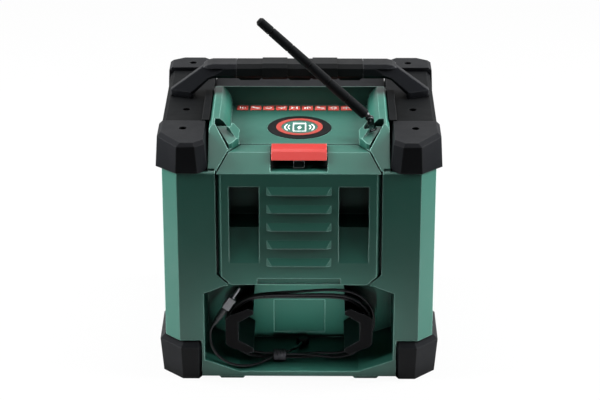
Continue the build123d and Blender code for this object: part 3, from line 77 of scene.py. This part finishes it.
# The stretches that aren't coiled, in mm: from the grommet to the coil, and from the coil to the plug.
lead_in = [
    (2.2, -71.0, 11.5),
    (0.5, -80.0, 12.2),
    (-4.5, -90.5, 14.9),
    (-9.0, -97.5, 16.3),
    (-15.0, -102.5, 15.6),
]
free_end = [
    (-22.0, -105.0, 14.6),
    (-31.0, -108.3, 12.4),
    (-41.0, -117.5, 10.6),
    (-55.0, -124.0, 10.5),
    (-70.0, -126.0, 13.6),
    (-83.5, -125.3, 21.8),
    (-90.8, -123.0, 33.5),
    (-92.2, -120.6, 44.0),
    (-91.6, -119.2, 51.5),
    (-88.0, -118.5, 56.7),
]


def oval_turn(radius, depth, lift, widen):
    """Control points of one turn: left end, top, right end. Lift and widen loosen its top right."""
    points = []
    for step in range(7):
        angle = math.radians(-90 - 30 * step)
        points.append((-COIL_HALF + radius * math.cos(angle), depth, COIL_MID_Z + radius * math.sin(angle)))
    points.append((0, depth, COIL_MID_Z + radius + 0.4 * lift))
    for step in range(7):
        angle = math.radians(90 - 30 * step)
        ease = math.sin(math.radians(60 + 30 * step)) if step < 4 else 0
        wide = radius + lift * ease
        points.append((COIL_HALF + wide * math.cos(angle) + 0.5 * widen * ease, depth,
                       COIL_MID_Z + wide * math.sin(angle)))
    return points


def metres(points):
    """Points in mm as points in metres."""
    return [tuple(v / 1000 for v in point) for point in points]


# Radii of the first turn and of the two after it, and the depths of the two layers that they lie in.
inner = 0.0327
outer = 0.0362
back = -0.1018
fore = -0.1054
wound = oval_turn(inner, back, 0, 0)
wound += [(0.026, back, 0.0155), (0.008, back, 0.0152), (-0.014, back, 0.0124)]
wound += oval_turn(outer, back, 0.0062, 0.001)
wound += [(0.026, back, 0.0118), (0.010, fore + 0.001, 0.0118), (-0.014, fore, 0.0118)]
wound += oval_turn(outer, fore, 0.0012, 0)
wound += [(0.026, fore, 0.0128), (0.010, fore, 0.0152), (-0.010, fore, 0.0156)]

route = metres(lead_in) + wound + metres(free_end)


def nurbs_curve(name, points, radius):
    """Round cord along control points in metres."""
    data = bpy.data.curves.new(name, "CURVE")
    data.dimensions = "3D"
    data.bevel_depth = 1.0
    data.bevel_resolution = 5
    data.resolution_u = 8
    data.use_fill_caps = True
    spline = data.splines.new("NURBS")
    spline.points.add(len(points) - 1)
    for control, point in zip(spline.points, points):
        control.co = (*point, 1)
        control.radius = radius
    spline.order_u = 3
    spline.use_endpoint_u = True
    obj = bpy.data.objects.new(name, data)
    bpy.context.collection.objects.link(obj)
    return obj


lead = nurbs_curve("aux_lead", route, LEAD_RADIUS)
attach(lead, "housing")
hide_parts("aux_lead_in", "aux_lead_end", "aux_coil")


# ---- materials ----
def node_tree(name):
    """New material with an empty node tree."""
    material = bpy.data.materials.new(name)
    material.use_nodes = True
    tree = material.node_tree
    tree.nodes.clear()
    return material, tree


def add(tree, kind, **values):
    node = tree.nodes.new(kind)
    for key, value in values.items():
        setattr(node, key, value)
    return node


def link(tree, out_node, out_name, in_node, in_name):
    tree.links.new(out_node.outputs[out_name], in_node.inputs[in_name])


def noise(tree, coords, scale, detail=3.0, roughness=0.55):
    node = add(tree, "ShaderNodeTexNoise")
    node.inputs["Scale"].default_value = scale
    node.inputs["Detail"].default_value = detail
    node.inputs["Roughness"].default_value = roughness
    link(tree, coords, "Object", node, "Vector")
    return node


def remap(tree, source, source_name, low, high, to_low, to_high, **values):
    """Map the stretch of a value from low to high to another range."""
    node = add(tree, "ShaderNodeMapRange", **values)
    node.inputs["From Min"].default_value = low
    node.inputs["From Max"].default_value = high
    node.inputs["To Min"].default_value = to_low
    node.inputs["To Max"].default_value = to_high
    link(tree, source, source_name, node, "Value")
    return node


def scaled(colour, factor, lift=0.0):
    """Darker or lighter version of a colour."""
    return tuple(min(1, c * factor + lift) for c in colour[:3]) + (1,)


def shaded(name):
    """New material with a principled shader: the material, its tree, its coordinates and its shader."""
    material, tree = node_tree(name)
    coords = add(tree, "ShaderNodeTexCoord")
    shader = add(tree, "ShaderNodeBsdfPrincipled")
    output = add(tree, "ShaderNodeOutputMaterial")
    link(tree, shader, "BSDF", output, "Surface")
    return material, tree, coords, shader


def tinted(tree, pattern, dark, light):
    """Two colours mixed by a noise pattern."""
    tint = add(tree, "ShaderNodeMix", data_type="RGBA")
    tint.inputs["A"].default_value = dark
    tint.inputs["B"].default_value = light
    link(tree, pattern, "Fac", tint, "Factor")
    return tint


NOISE_MIDDLE = (0.25, 0.75)


def gloss(tree, pattern, shader, low, high):
    """Roughness from low to high over the middle half of a noise pattern."""
    rough = remap(tree, pattern, "Fac", *NOISE_MIDDLE, low, high)
    link(tree, rough, "Result", shader, "Roughness")


def rounded(tree, radius):
    """Normal of the surface as if its edges had a radius, in metres."""
    bevel = add(tree, "ShaderNodeBevel", samples=4)
    bevel.inputs["Radius"].default_value = radius
    return bevel


# Cosine of the angle between the rounded and the flat normal where the painted edge highlight starts and
# where it is full.
HIGHLIGHT_TURN = (0.995, 0.86)


def paint_edge_highlight(tree, colour, bevel, amount, highlight_colour):
    """Painted highlight: a lighter colour on edges, where the rounded normal leaves the flat one."""
    geometry = add(tree, "ShaderNodeNewGeometry")
    dot = add(tree, "ShaderNodeVectorMath", operation="DOT_PRODUCT")
    link(tree, bevel, "Normal", dot, 0)
    link(tree, geometry, "Normal", dot, 1)
    highlit = remap(tree, dot, "Value", *HIGHLIGHT_TURN, 0.0, amount)
    edge_lit = add(tree, "ShaderNodeMix", data_type="RGBA")
    edge_lit.inputs["B"].default_value = highlight_colour
    link(tree, highlit, "Result", edge_lit, "Factor")
    link(tree, colour, "Result", edge_lit, "A")
    return edge_lit


# Painted shade in hollows: how far a hollow's walls reach, in metres, and the open share where the painted
# shade is darkest and where it ends.
HOLLOW_REACH = 0.022
HOLLOW_SHARE = (0.25, 0.85)


def paint_hollow_shade(tree, colour, hollow_shade):
    """Painted shade: colour that falls to a share of itself in hollows."""
    open_air = add(tree, "ShaderNodeAmbientOcclusion", samples=6)
    open_air.inputs["Distance"].default_value = HOLLOW_REACH
    depth = remap(tree, open_air, "AO", *HOLLOW_SHARE, hollow_shade, 1.0)
    shade = add(tree, "ShaderNodeMix", data_type="RGBA", blend_type="MULTIPLY")
    shade.inputs["Factor"].default_value = 1.0
    link(tree, colour, "Result", shade, "A")
    link(tree, depth, "Result", shade, "B")
    return shade


def relief(tree, pattern, bevel, shader, strength, distance):
    """Fine bumps on the rounded normal."""
    bump = add(tree, "ShaderNodeBump")
    bump.inputs["Strength"].default_value = strength
    bump.inputs["Distance"].default_value = distance
    link(tree, pattern, "Fac", bump, "Height")
    link(tree, bevel, "Normal", bump, "Normal")
    link(tree, bump, "Normal", shader, "Normal")


def moulded(name, colour, rough=0.45, grain=1500.0, grain_depth=0.00002, mottle=0.06, edge_highlight=0.25,
            highlight_colour=None, round_off=0.0005, specular=0.5, hollow_shade=0.08):
    """Any surface but metal and glass: mottled colour, fine grain, painted highlights on edges and painted
    shade in hollows.
    """
    material, tree, coords, shader = shaded(name)
    shader.inputs["Specular IOR Level"].default_value = specular
    broad = noise(tree, coords, 22.0, 4.0)
    tint = tinted(tree, broad, scaled(colour, 1 - mottle), scaled(colour, 1 + mottle))
    bevel = rounded(tree, round_off)
    edge_lit = paint_edge_highlight(tree, tint, bevel, edge_highlight, highlight_colour or scaled(colour, 1.6, 0.05))
    shade = paint_hollow_shade(tree, edge_lit, hollow_shade)
    link(tree, shade, "Result", shader, "Base Color")
    gloss(tree, noise(tree, coords, 60.0, 3.0), shader, rough - 0.05, rough + 0.06)
    relief(tree, noise(tree, coords, grain, 2.0, 0.6), bevel, shader, 0.6, grain_depth)
    return material


def metal(name, colour, rough, scratch=400.0):
    """Plated metal with fine scratches and small tarnish marks."""
    material, tree, coords, shader = shaded(name)
    shader.inputs["Metallic"].default_value = 1.0
    marks = noise(tree, coords, 180.0, 4.0)
    tint = tinted(tree, marks, scaled(colour, 0.86), colour)
    link(tree, tint, "Result", shader, "Base Color")
    gloss(tree, marks, shader, rough, rough + 0.12)
    stretch = add(tree, "ShaderNodeMapping")
    stretch.inputs["Scale"].default_value = (1, 1, 9)
    link(tree, coords, "Object", stretch, "Vector")
    lines = add(tree, "ShaderNodeTexNoise")
    lines.inputs["Scale"].default_value = scratch
    link(tree, stretch, "Vector", lines, "Vector")
    relief(tree, lines, rounded(tree, 0.0003), shader, 0.3, 0.00002)
    return material


def window_material():
    """Dark see-through plastic with faint smears."""
    material, tree, coords, shader = shaded("dark_window")
    shader.inputs["Base Color"].default_value = srgb(60, 66, 66)
    shader.inputs["Transmission Weight"].default_value = 0.8
    shader.inputs["IOR"].default_value = 1.49
    gloss(tree, noise(tree, coords, 140.0, 3.0), shader, 0.05, 0.11)
    return material


# Each edge colour below, and the lighter default one, is a painted highlight along the edges.
green = moulded("green_moulding", srgb(34, 76, 66), rough=0.38, edge_highlight=0.6,
                highlight_colour=srgb(140, 184, 174), round_off=0.0015)
black = moulded("black_moulding", srgb(13, 14, 16), rough=0.42, grain=1100, grain_depth=0.00003, edge_highlight=0.25,
                specular=0.2, round_off=0.0011)
bumper = moulded("bumper_moulding", srgb(14, 15, 17), rough=0.5, grain=900, grain_depth=0.00004,
                 edge_highlight=0.25, round_off=0.0014, specular=0.12)
rubber = moulded("black_rubber", srgb(12, 13, 14), rough=0.5, grain=1300, grain_depth=0.00003, edge_highlight=0.15,
                 specular=0.15)
smooth_black = moulded("smooth_black", srgb(17, 18, 20), rough=0.28, grain=2200, grain_depth=0.00001,
                       edge_highlight=0.2)
handle_black = moulded("handle_black", srgb(13, 14, 16), rough=0.4, grain=1100, grain_depth=0.00003,
                       edge_highlight=0.25, highlight_colour=srgb(80, 82, 85), specular=0.14, round_off=0.0020)
red = moulded("red_moulding", srgb(138, 25, 20), rough=0.36, grain=1800, grain_depth=0.00001,
              edge_highlight=0.45, highlight_colour=srgb(246, 150, 136), round_off=0.0008)
tab_red = moulded("tab_red", srgb(200, 78, 68), rough=0.4, grain=1800, grain_depth=0.00001,
                  edge_highlight=0.3, highlight_colour=srgb(240, 150, 138))
ring_red = moulded("ring_red", srgb(132, 46, 38), rough=0.42, grain=1800, grain_depth=0.00001,
                   edge_highlight=0.3, highlight_colour=srgb(240, 150, 138))
print_white = moulded("print_white", srgb(226, 230, 228), rough=0.5, grain=1800, grain_depth=0.000005,
                      edge_highlight=0.0, hollow_shade=0.8)
plug_grey = moulded("plug_grey", srgb(38, 39, 41), rough=0.4, edge_highlight=0.3, highlight_colour=srgb(120, 122, 124),
                    round_off=0.0004)
front_black = moulded("front_black", srgb(13, 14, 16), rough=0.68, grain=900, grain_depth=0.00005, edge_highlight=0.25,
                      specular=0.12, round_off=0.0011)
# Darker copy of the black moulding for the rails under the handle: painted shade.
rail_black_shaded = moulded("rail_black_shaded", srgb(8, 9, 10), rough=0.6, grain=900, grain_depth=0.00004, edge_highlight=0.25,
                     specular=0.08, round_off=0.0012)
disc_black = moulded("disc_rubber", srgb(10, 11, 12), rough=0.5, grain=1500, grain_depth=0.00002, edge_highlight=0.2,
                     specular=0.15)
# Near-black copy of the black moulding for the hooks deep in the cord bay: painted shade, with painted
# highlights along their edges.
hook_black_shaded = moulded("hook_black_shaded", srgb(4, 4, 5), rough=0.32, edge_highlight=0.5, highlight_colour=srgb(92, 95, 98),
                     round_off=0.0009, specular=0.07)
jacket = moulded("lead_jacket", srgb(15, 15, 17), rough=0.3, grain=1500, grain_depth=0.00001, edge_highlight=0.0)
strap_mat = moulded("strap_weave", srgb(52, 52, 56), rough=0.8, grain=600, grain_depth=0.00012, edge_highlight=0.1)
# The grey collar gets strong painted shade in its hollows.
collar_grey = moulded("collar_grey", srgb(98, 99, 101), rough=0.45, edge_highlight=0.2, hollow_shade=0.5)
paper = moulded("speaker_cone", srgb(40, 40, 42), rough=0.75, grain=500, grain_depth=0.00006, edge_highlight=0.0)
grille_paint = moulded("grille_paint", srgb(34, 34, 36), rough=0.4, grain=700, grain_depth=0.00002, edge_highlight=0.3)
board = moulded("circuit_board", srgb(22, 84, 50), rough=0.35, grain=900, edge_highlight=0.2)
copper = metal("copper_winding", srgb(196, 120, 80), 0.35, 900)
steel = metal("zinc_steel", srgb(178, 178, 182), 0.3)
chrome = metal("bright_plating", srgb(214, 214, 218), 0.14)
brass = metal("contact_brass", srgb(205, 176, 110), 0.3)


window = window_material()

SLOT_MATERIALS = {
    "green_plastic": green, "black_plastic": black, "bumper_black": bumper, "soft_black": rubber,
    "panel_black": smooth_black, "red_plastic": red, "steel": steel, "brass_contact": brass,
    "copper": copper, "chrome_fitting": chrome, "cord_black": jacket, "strap_fabric": strap_mat,
    "grey_plastic": collar_grey, "window_glass": window, "speaker_paper": paper,
    "grille_metal": grille_paint, "board_green": board,
}
NODE_MATERIALS = {
    "cord_hook_right": hook_black_shaded, "cord_hook_left": hook_black_shaded, "handle": handle_black,
    "front_housing": front_black, "side_rail_right": rail_black_shaded, "side_rail_left": rail_black_shaded,
    "icon_tabs": tab_red, "charging_ring": ring_red, "charging_disc": disc_black,
}


def paint(obj, material):
    """Give a piece one material in place of those that it has."""
    if obj.data.materials:
        for index in range(len(obj.data.materials)):
            obj.data.materials[index] = material
    else:
        obj.data.materials.append(material)


for part in frame["record"]["subparts"]:
    if part["node"] in nodes:
        paint(nodes[part["node"]], SLOT_MATERIALS[part["material_slot"]])
for name, material in NODE_MATERIALS.items():
    paint(nodes[name], material)
paint(lead, jacket)


# ---- fitted detail ----
MM = 0.001


def piece(name, mesh, material, body, smooth=False):
    """Add a mesh to the scene as a piece of the radio that rides on a body."""
    obj = bpy.data.objects.new(name, mesh)
    bpy.context.collection.objects.link(obj)
    obj.data.materials.append(material)
    if smooth:
        for face in obj.data.polygons:
            face.use_smooth = True
    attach(obj, body)
    return obj


def bridge(shape, lower, upper):
    """Band of faces between two rings that have as many points."""
    for index in range(len(lower)):
        after = (index + 1) % len(lower)
        shape.faces.new((lower[index], lower[after], upper[after], upper[index]))


def finished_mesh(shape, name, *transforms):
    """Turn a bmesh, moved by each transform in turn, into a mesh with outward faces."""
    bmesh.ops.recalc_face_normals(shape, faces=shape.faces)
    for transform in transforms:
        shape.transform(transform)
    mesh = bpy.data.meshes.new(name)
    shape.to_mesh(mesh)
    shape.free()
    return mesh


def plates(name, outlines, low, high, place=Matrix.Identity(4)):
    """Mesh of flat plates: each outline is a list of (x, y) in mm, raised from low to high."""
    shape = bmesh.new()
    for outline in outlines:
        base = [shape.verts.new((x, y, low)) for x, y in outline]
        top = [shape.verts.new((x, y, high)) for x, y in outline]
        shape.faces.new(list(reversed(base)))
        shape.faces.new(top)
        bridge(shape, base, top)
    return finished_mesh(shape, name, Matrix.Scale(MM, 4), place)


def bar(x, y, wide, tall):
    """Rectangle about a middle point."""
    return [(x - wide / 2, y - tall / 2), (x + wide / 2, y - tall / 2), (x + wide / 2, y + tall / 2),
            (x - wide / 2, y + tall / 2)]


def arc_band(x, y, radius, width, start, end, steps=14):
    """Band of a circle between two angles in degrees."""
    angles = [math.radians(start + (end - start) * step / steps) for step in range(steps + 1)]
    outside = [(x + radius * math.cos(a), y + radius * math.sin(a)) for a in angles]
    near = radius - width
    inside = [(x + near * math.cos(a), y + near * math.sin(a)) for a in reversed(angles)]
    return outside + inside


def frame_bars(x, y, wide, tall, line):
    """Four bars that outline a rectangle."""
    up = (tall - line) / 2
    across = (wide - line) / 2
    upright = tall - 2 * line
    return [bar(x, y + up, wide, line), bar(x, y - up, wide, line),
            bar(x - across, y, line, upright), bar(x + across, y, line, upright)]


def lathe(name, profile, place, steps=28):
    """Turned mesh from (radius, height) points in mm, closed at both ends."""
    shape = bmesh.new()
    rings = []
    turns = [2 * math.pi * step / steps for step in range(steps)]
    for radius, height in profile:
        rings.append([shape.verts.new((radius * math.cos(a), radius * math.sin(a), height)) for a in turns])
    for lower, upper in zip(rings, rings[1:]):
        bridge(shape, lower, upper)
    shape.faces.new(list(reversed(rings[0])))
    shape.faces.new(rings[-1])
    return finished_mesh(shape, name, Matrix.Scale(MM, 4), place)


# Charging mark on the plate: a plain telephone outline with a bolt and two waves each side. Sizes in mm,
# and each wave's radius with the angle that it reaches up and down. A print starts just under its surface.
PRINT_SINK = 0.05
CHARGE_RAISE = 0.2
PHONE_DROP = 0.5
PHONE_WIDE = 13.6
PHONE_TALL = 24.0
PHONE_LINE = 1.1
TOP_BAR_RISE = 9.8
TOP_BAR_WIDE = 10.8
TOP_BAR_TALL = 1.4
BOLT = ((1.4, 5.8), (-3.0, -0.8), (-0.2, -0.8), (-1.4, -5.8), (3.0, 0.8), (0.2, 0.8))
BOLT_SLIM = 0.8
BOLT_DROP = 1.2
WAVES = ((12.0, 31), (15.6, 35))
WAVE_LINE = 0.9
plate_low, plate_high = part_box("charging_plate")
plate_y = (plate_low.y + plate_high.y) / 2 / MM
plate_top = plate_high.z / MM
phone_y = plate_y - PHONE_DROP
charge_mark = frame_bars(0, phone_y, PHONE_WIDE, PHONE_TALL, PHONE_LINE)
charge_mark.append(bar(0, phone_y + TOP_BAR_RISE, TOP_BAR_WIDE, TOP_BAR_TALL))
charge_mark.append([(BOLT_SLIM * x, phone_y - BOLT_DROP + y) for x, y in BOLT])
for turn in (0, 180):
    for radius, reach in WAVES:
        charge_mark.append(arc_band(0, phone_y, radius, WAVE_LINE, turn - reach, turn + reach))
charge_mesh = plates("charge_mark", charge_mark, plate_top - PRINT_SINK, plate_top + CHARGE_RAISE)
piece("charge_mark", charge_mesh, print_white, "housing")

# Marks on the red tabs: plain bars, dots and rings. The kinds take turns, so that no neighbours are alike.
MARK_RAISE = 0.15
MARK_KINDS = 5
MARK_STEP = 3
tabs_low, tabs_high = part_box("icon_tabs")
TAB_COUNT = 9
TAB_WIDTH = 0.0116
tab_pitch = (tabs_high.x - tabs_low.x - TAB_WIDTH) / (TAB_COUNT - 1) / MM
first_tab_x = (tabs_low.x + TAB_WIDTH / 2) / MM
tab_y = (tabs_low.y + tabs_high.y) / 2 / MM
tab_top = tabs_high.z / MM


def tab_mark(kind, x, y):
    """One of five plain marks about a middle point, in mm."""
    if kind == 0:
        return [bar(x - 2.6, y, 1.5, 4.6), bar(x, y, 1.5, 6.4), bar(x + 2.6, y, 1.5, 3.4)]
    if kind == 1:
        return [arc_band(x, y, 3.4, 1.2, -140, 140), bar(x - 2.6, y, 2.4, 1.6)]
    if kind == 2:
        return [[(x - 3.6, y - 3), (x + 0.6, y), (x - 3.6, y + 3)], bar(x + 2.4, y, 1.6, 6)]
    if kind == 3:
        return [bar(x, y, 8.2, 1.5), bar(x - 2.4, y + 2.6, 3.2, 1.4), bar(x + 2.4, y - 2.6, 3.2, 1.4)]
    return [bar(x, y, 1.5, 6.6), bar(x, y, 7.6, 1.5), bar(x + 3.2, y + 2.6, 1.4, 1.4)]


tab_marks = []
for index in range(TAB_COUNT):
    tab_marks += tab_mark((index * MARK_STEP) % MARK_KINDS, first_tab_x + index * tab_pitch, tab_y)
tab_mesh = plates("tab_marks", tab_marks, tab_top - PRINT_SINK, tab_top + MARK_RAISE)
piece("tab_marks", tab_mesh, print_white, "housing")

# Black finger tab with a raised border under the lip of the latch. Its outline and how far its plate and
# border stand out are in mm, and its height and its place inside the latch's rear are in metres.
latch_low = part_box("door_latch")[0]
FINGER_WIDE = 11.4
FINGER_TALL = 8.2
FINGER_LINE = 0.7
FINGER_PLATE = (-0.6, 0.3)
FINGER_BORDER = (0.2, 0.6)
FINGER_Z = 0.2356
FINGER_INSET = 0.0006
finger_way = Matrix.Rotation(math.radians(90), 4, "X")
finger_place = Matrix.Translation((0, latch_low.y + FINGER_INSET, FINGER_Z)) @ finger_way
finger_outline = [bar(0, 0, FINGER_WIDE, FINGER_TALL)]
finger_mesh = plates("latch_tab", finger_outline, *FINGER_PLATE, finger_place)
piece("latch_tab", finger_mesh, smooth_black, "latch")
border_outlines = frame_bars(0, 0, FINGER_WIDE, FINGER_TALL, FINGER_LINE)
border_mesh = plates("latch_tab_border", border_outlines, *FINGER_BORDER, finger_place)
piece("latch_tab_border", border_mesh, collar_grey, "latch")


# Plug: ribbed boot and grip, and a jack pin with its insulating rings.
plug_base = Vector(free_end[-1]) * MM
plug_line = (Vector(free_end[-1]) - Vector(free_end[-2])).normalized()
plug_place = Matrix.Translation(plug_base) @ plug_line.to_track_quat("Z", "Y").to_matrix().to_4x4()
boot = [(1.7, 0.0), (2.3, 0.2), (2.3, 1.2), (1.8, 1.4), (1.8, 2.1), (2.7, 2.3), (2.7, 3.4), (2.1, 3.6),
        (2.1, 4.3), (3.0, 4.5), (3.0, 5.6), (2.5, 5.8), (2.5, 6.5), (3.1, 7.0), (3.4, 8.2), (3.4, 13.0),
        (3.15, 13.3), (3.15, 13.9), (3.4, 14.2), (3.4, 18.2), (2.9, 19.2), (2.6, 19.4), (2.6, 21.0)]
plug_body = piece("plug_grip", lathe("plug_grip", boot, plug_place), plug_grey, "housing")
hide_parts("plug_body")
jack = [(1.75, 34.0), (1.75, 38.0), (1.5, 38.1), (1.5, 38.6), (1.75, 38.7), (1.75, 41.4), (1.5, 41.5),
        (1.5, 42.0), (1.75, 42.1), (1.75, 44.6), (1.35, 45.2), (1.6, 46.0), (1.3, 47.2), (0.5, 47.9)]
jack_pin = piece("jack_pin", lathe("jack_pin", jack, plug_place), steel, "housing")
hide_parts("plug_pin")


# Strap: a woven band round the wound lead, ribbed across its width. Lengths are in metres, and the insets
# are from the outline that lies a margin inside its CAD piece's box.
STRAP_MARGIN = 0.0003
STRAP_SQUARENESS = 3.2
STRAP_RIB = 0.00034
STRAP_RIB_COUNT = 6.5
STRAP_TROUGH_INSET = 0.00036
STRAP_INNER_INSET = 0.0012
STRAP_HEM_INSET = 0.0004
STRAP_HEM_SHARE = 0.04


def strap_mesh():
    """Band round the wound lead, in the box of its CAD piece."""
    low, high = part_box("cord_strap")
    mid_y, mid_z = (low.y + high.y) / 2, (low.z + high.z) / 2
    half_y, half_z = (high.y - low.y) / 2 - STRAP_MARGIN, (high.z - low.z) / 2 - STRAP_MARGIN
    shape = bmesh.new()
    across, around = 40, 48

    def loop(x, inset):
        ring = []
        for step in range(around):
            angle = 2 * math.pi * step / around
            c, s = math.cos(angle), math.sin(angle)
            squash = (abs(c) ** STRAP_SQUARENESS + abs(s) ** STRAP_SQUARENESS) ** (-1 / STRAP_SQUARENESS)
            y = mid_y + (half_y - inset) * c * squash
            z = mid_z + (half_z - inset) * s * squash
            ring.append(shape.verts.new((x, y, z)))
        return ring

    outside = []
    for step in range(across + 1):
        share = step / across
        rib = STRAP_RIB * (0.5 - 0.5 * math.cos(2 * math.pi * STRAP_RIB_COUNT * share))
        hem = STRAP_HEM_INSET if share < STRAP_HEM_SHARE or share > 1 - STRAP_HEM_SHARE else 0
        outside.append(loop(low.x + (high.x - low.x) * share, STRAP_TROUGH_INSET - rib + hem))
    inside = [loop(low.x, STRAP_INNER_INSET), loop(high.x, STRAP_INNER_INSET)]
    for first, second in zip(outside, outside[1:]):
        bridge(shape, first, second)
    bridge(shape, outside[0], inside[0])
    bridge(shape, outside[-1], inside[1])
    bridge(shape, inside[0], inside[1])
    return finished_mesh(shape, "strap_band")


strap = piece("strap_band", strap_mesh(), strap_mat, "housing", smooth=True)
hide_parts("cord_strap")


# Plain numbers on the five keys, read from left to right by someone in front, where button_5 comes first.
KEY_COUNT = 5
NUMBER_SIZE = 0.0075
NUMBER_RAISE = 0.0001
for number in range(1, KEY_COUNT + 1):
    low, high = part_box(f"button_{number}")
    data = bpy.data.curves.new(f"key_number_{number}", "FONT")
    data.body = str(KEY_COUNT + 1 - number)
    data.size = NUMBER_SIZE
    data.extrude = NUMBER_RAISE
    data.align_x = "CENTER"
    data.align_y = "CENTER"
    label = bpy.data.objects.new(f"key_number_{number}", data)
    bpy.context.collection.objects.link(label)
    label.location = ((low.x + high.x) / 2, high.y + NUMBER_RAISE, (low.z + high.z) / 2)
    label.rotation_euler = (math.radians(90), 0, math.radians(180))
    data.materials.append(print_white)
    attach(label, f"key_{number}")


# ---- floor and light ----
FLOOR = ((-0.6, -0.36), (0.6, 1.5))
FLOOR_GREY = 0.3
FLOOR_GLOW_SHARE = 0.93
FLOOR_DROP = 0.0002


def floor_material():
    """Pale table top: nearly white to the camera, and still carrying the object's soft shadow."""
    material, tree = node_tree("pale_floor")
    diffuse = add(tree, "ShaderNodeBsdfDiffuse")
    diffuse.inputs["Color"].default_value = (FLOOR_GREY, FLOOR_GREY, FLOOR_GREY, 1)
    glow = add(tree, "ShaderNodeEmission")
    glow.inputs["Color"].default_value = (1, 1, 1, 1)
    glow.inputs["Strength"].default_value = 1.0
    path = add(tree, "ShaderNodeLightPath")
    share = add(tree, "ShaderNodeMath", operation="MULTIPLY")
    share.inputs[1].default_value = FLOOR_GLOW_SHARE
    mix = add(tree, "ShaderNodeMixShader")
    output = add(tree, "ShaderNodeOutputMaterial")
    link(tree, path, "Is Camera Ray", share, 0)
    link(tree, share, "Value", mix, "Fac")
    tree.links.new(diffuse.outputs["BSDF"], mix.inputs[1])
    tree.links.new(glow.outputs["Emission"], mix.inputs[2])
    link(tree, mix, "Shader", output, "Surface")
    return material


floor_mesh = bpy.data.meshes.new("floor")
(west, south), (east, north) = FLOOR
corners = [(west, south, 0), (east, south, 0), (east, north, 0), (west, north, 0)]
floor_mesh.from_pydata(corners, [], [(0, 1, 2, 3)])
floor = bpy.data.objects.new("floor", floor_mesh)
bpy.context.collection.objects.link(floor)
floor.location.z = -FLOOR_DROP
floor.data.materials.append(floor_material())

# The room is white to the camera. As light it is bright at the sides and back and dim in front and below.
# It has one level for soft light and another in reflections. The two turns are parts of a direction's
# length, along Y from dim to full and along Z from the ground's share to full.
ROOM_DIM = 0.03
ROOM_GROUND = 0.15
ROOM_BRIGHT = 0.22
ROOM_MIRRORED = 0.75
ROOM_TURN = (-0.6, 0.3)
ROOM_HORIZON = (-0.25, 0.0)
world = bpy.data.worlds.new("world")
bpy.context.scene.world = world
world.use_nodes = True
sky = world.node_tree
sky.nodes.clear()
sky_out = add(sky, "ShaderNodeOutputWorld")
towards = add(sky, "ShaderNodeTexCoord")
split = add(sky, "ShaderNodeSeparateXYZ")
link(sky, towards, "Generated", split, "Vector")
level = remap(sky, split, "Y", *ROOM_TURN, ROOM_DIM, 1.0, interpolation_type="SMOOTHSTEP")
seen = add(sky, "ShaderNodeLightPath")
mirrored = remap(sky, seen, "Is Glossy Ray", 0.0, 1.0, ROOM_BRIGHT, ROOM_MIRRORED)
horizon = remap(sky, split, "Z", *ROOM_HORIZON, ROOM_GROUND, 1.0, interpolation_type="SMOOTHSTEP")
above = add(sky, "ShaderNodeMath", operation="MULTIPLY")
link(sky, level, "Result", above, 0)
link(sky, horizon, "Result", above, 1)
strength = add(sky, "ShaderNodeMath", operation="MULTIPLY")
link(sky, above, "Value", strength, 0)
link(sky, mirrored, "Result", strength, 1)
soft = add(sky, "ShaderNodeBackground")
soft.inputs["Color"].default_value = (1, 1, 1, 1)
link(sky, strength, "Value", soft, "Strength")
white = add(sky, "ShaderNodeBackground")
white.inputs["Color"].default_value = (1, 1, 1, 1)
white.inputs["Strength"].default_value = 1.0
choose = add(sky, "ShaderNodeMixShader")
link(sky, seen, "Is Camera Ray", choose, "Fac")
sky.links.new(soft.outputs["Background"], choose.inputs[1])
sky.links.new(white.outputs["Background"], choose.inputs[2])
link(sky, choose, "Shader", sky_out, "Surface")


def lamp(name, place, target, size, power, reflects=True):
    """Rectangular lamp in metres and watts, aimed at a point, that may be left out of reflections."""
    data = bpy.data.lights.new(name, "AREA")
    data.shape = "RECTANGLE"
    data.size, data.size_y = size
    data.energy = power
    obj = bpy.data.objects.new(name, data)
    obj.location = place
    aim = Vector(target) - Vector(place)
    obj.rotation_euler = aim.to_track_quat("-Z", "Y").to_euler()
    obj.visible_glossy = reflects
    bpy.context.collection.objects.link(obj)
    return obj


lamp("top_light", (0, 0.5, 2.1), (0, 0, 0.2), (2.2, 1.7), 29)
lamp("right_light", (1.25, -0.03, 0.75), (0, -0.03, 0.1), (0.8, 0.8), 86, reflects=False)
lamp("left_light", (-1.25, -0.03, 0.75), (0, -0.03, 0.1), (0.8, 0.8), 80, reflects=False)
lamp("front_light", (0, -2.2, 0.5), (0, 0, 0.1), (1.4, 0.6), 0.6)
low_lamp = lamp("low_light", (0, -0.8, 0.09), (0, -0.07, 0.056), (0.12, 0.03), 0.07, reflects=False)
low_lamp.data.spread = math.radians(14)
lamp("back_light", (0, 2.2, 1.1), (0, 0, 0.15), (1.8, 1.2), 30, reflects=False)

bpy.context.scene.view_settings.view_transform = "Standard"
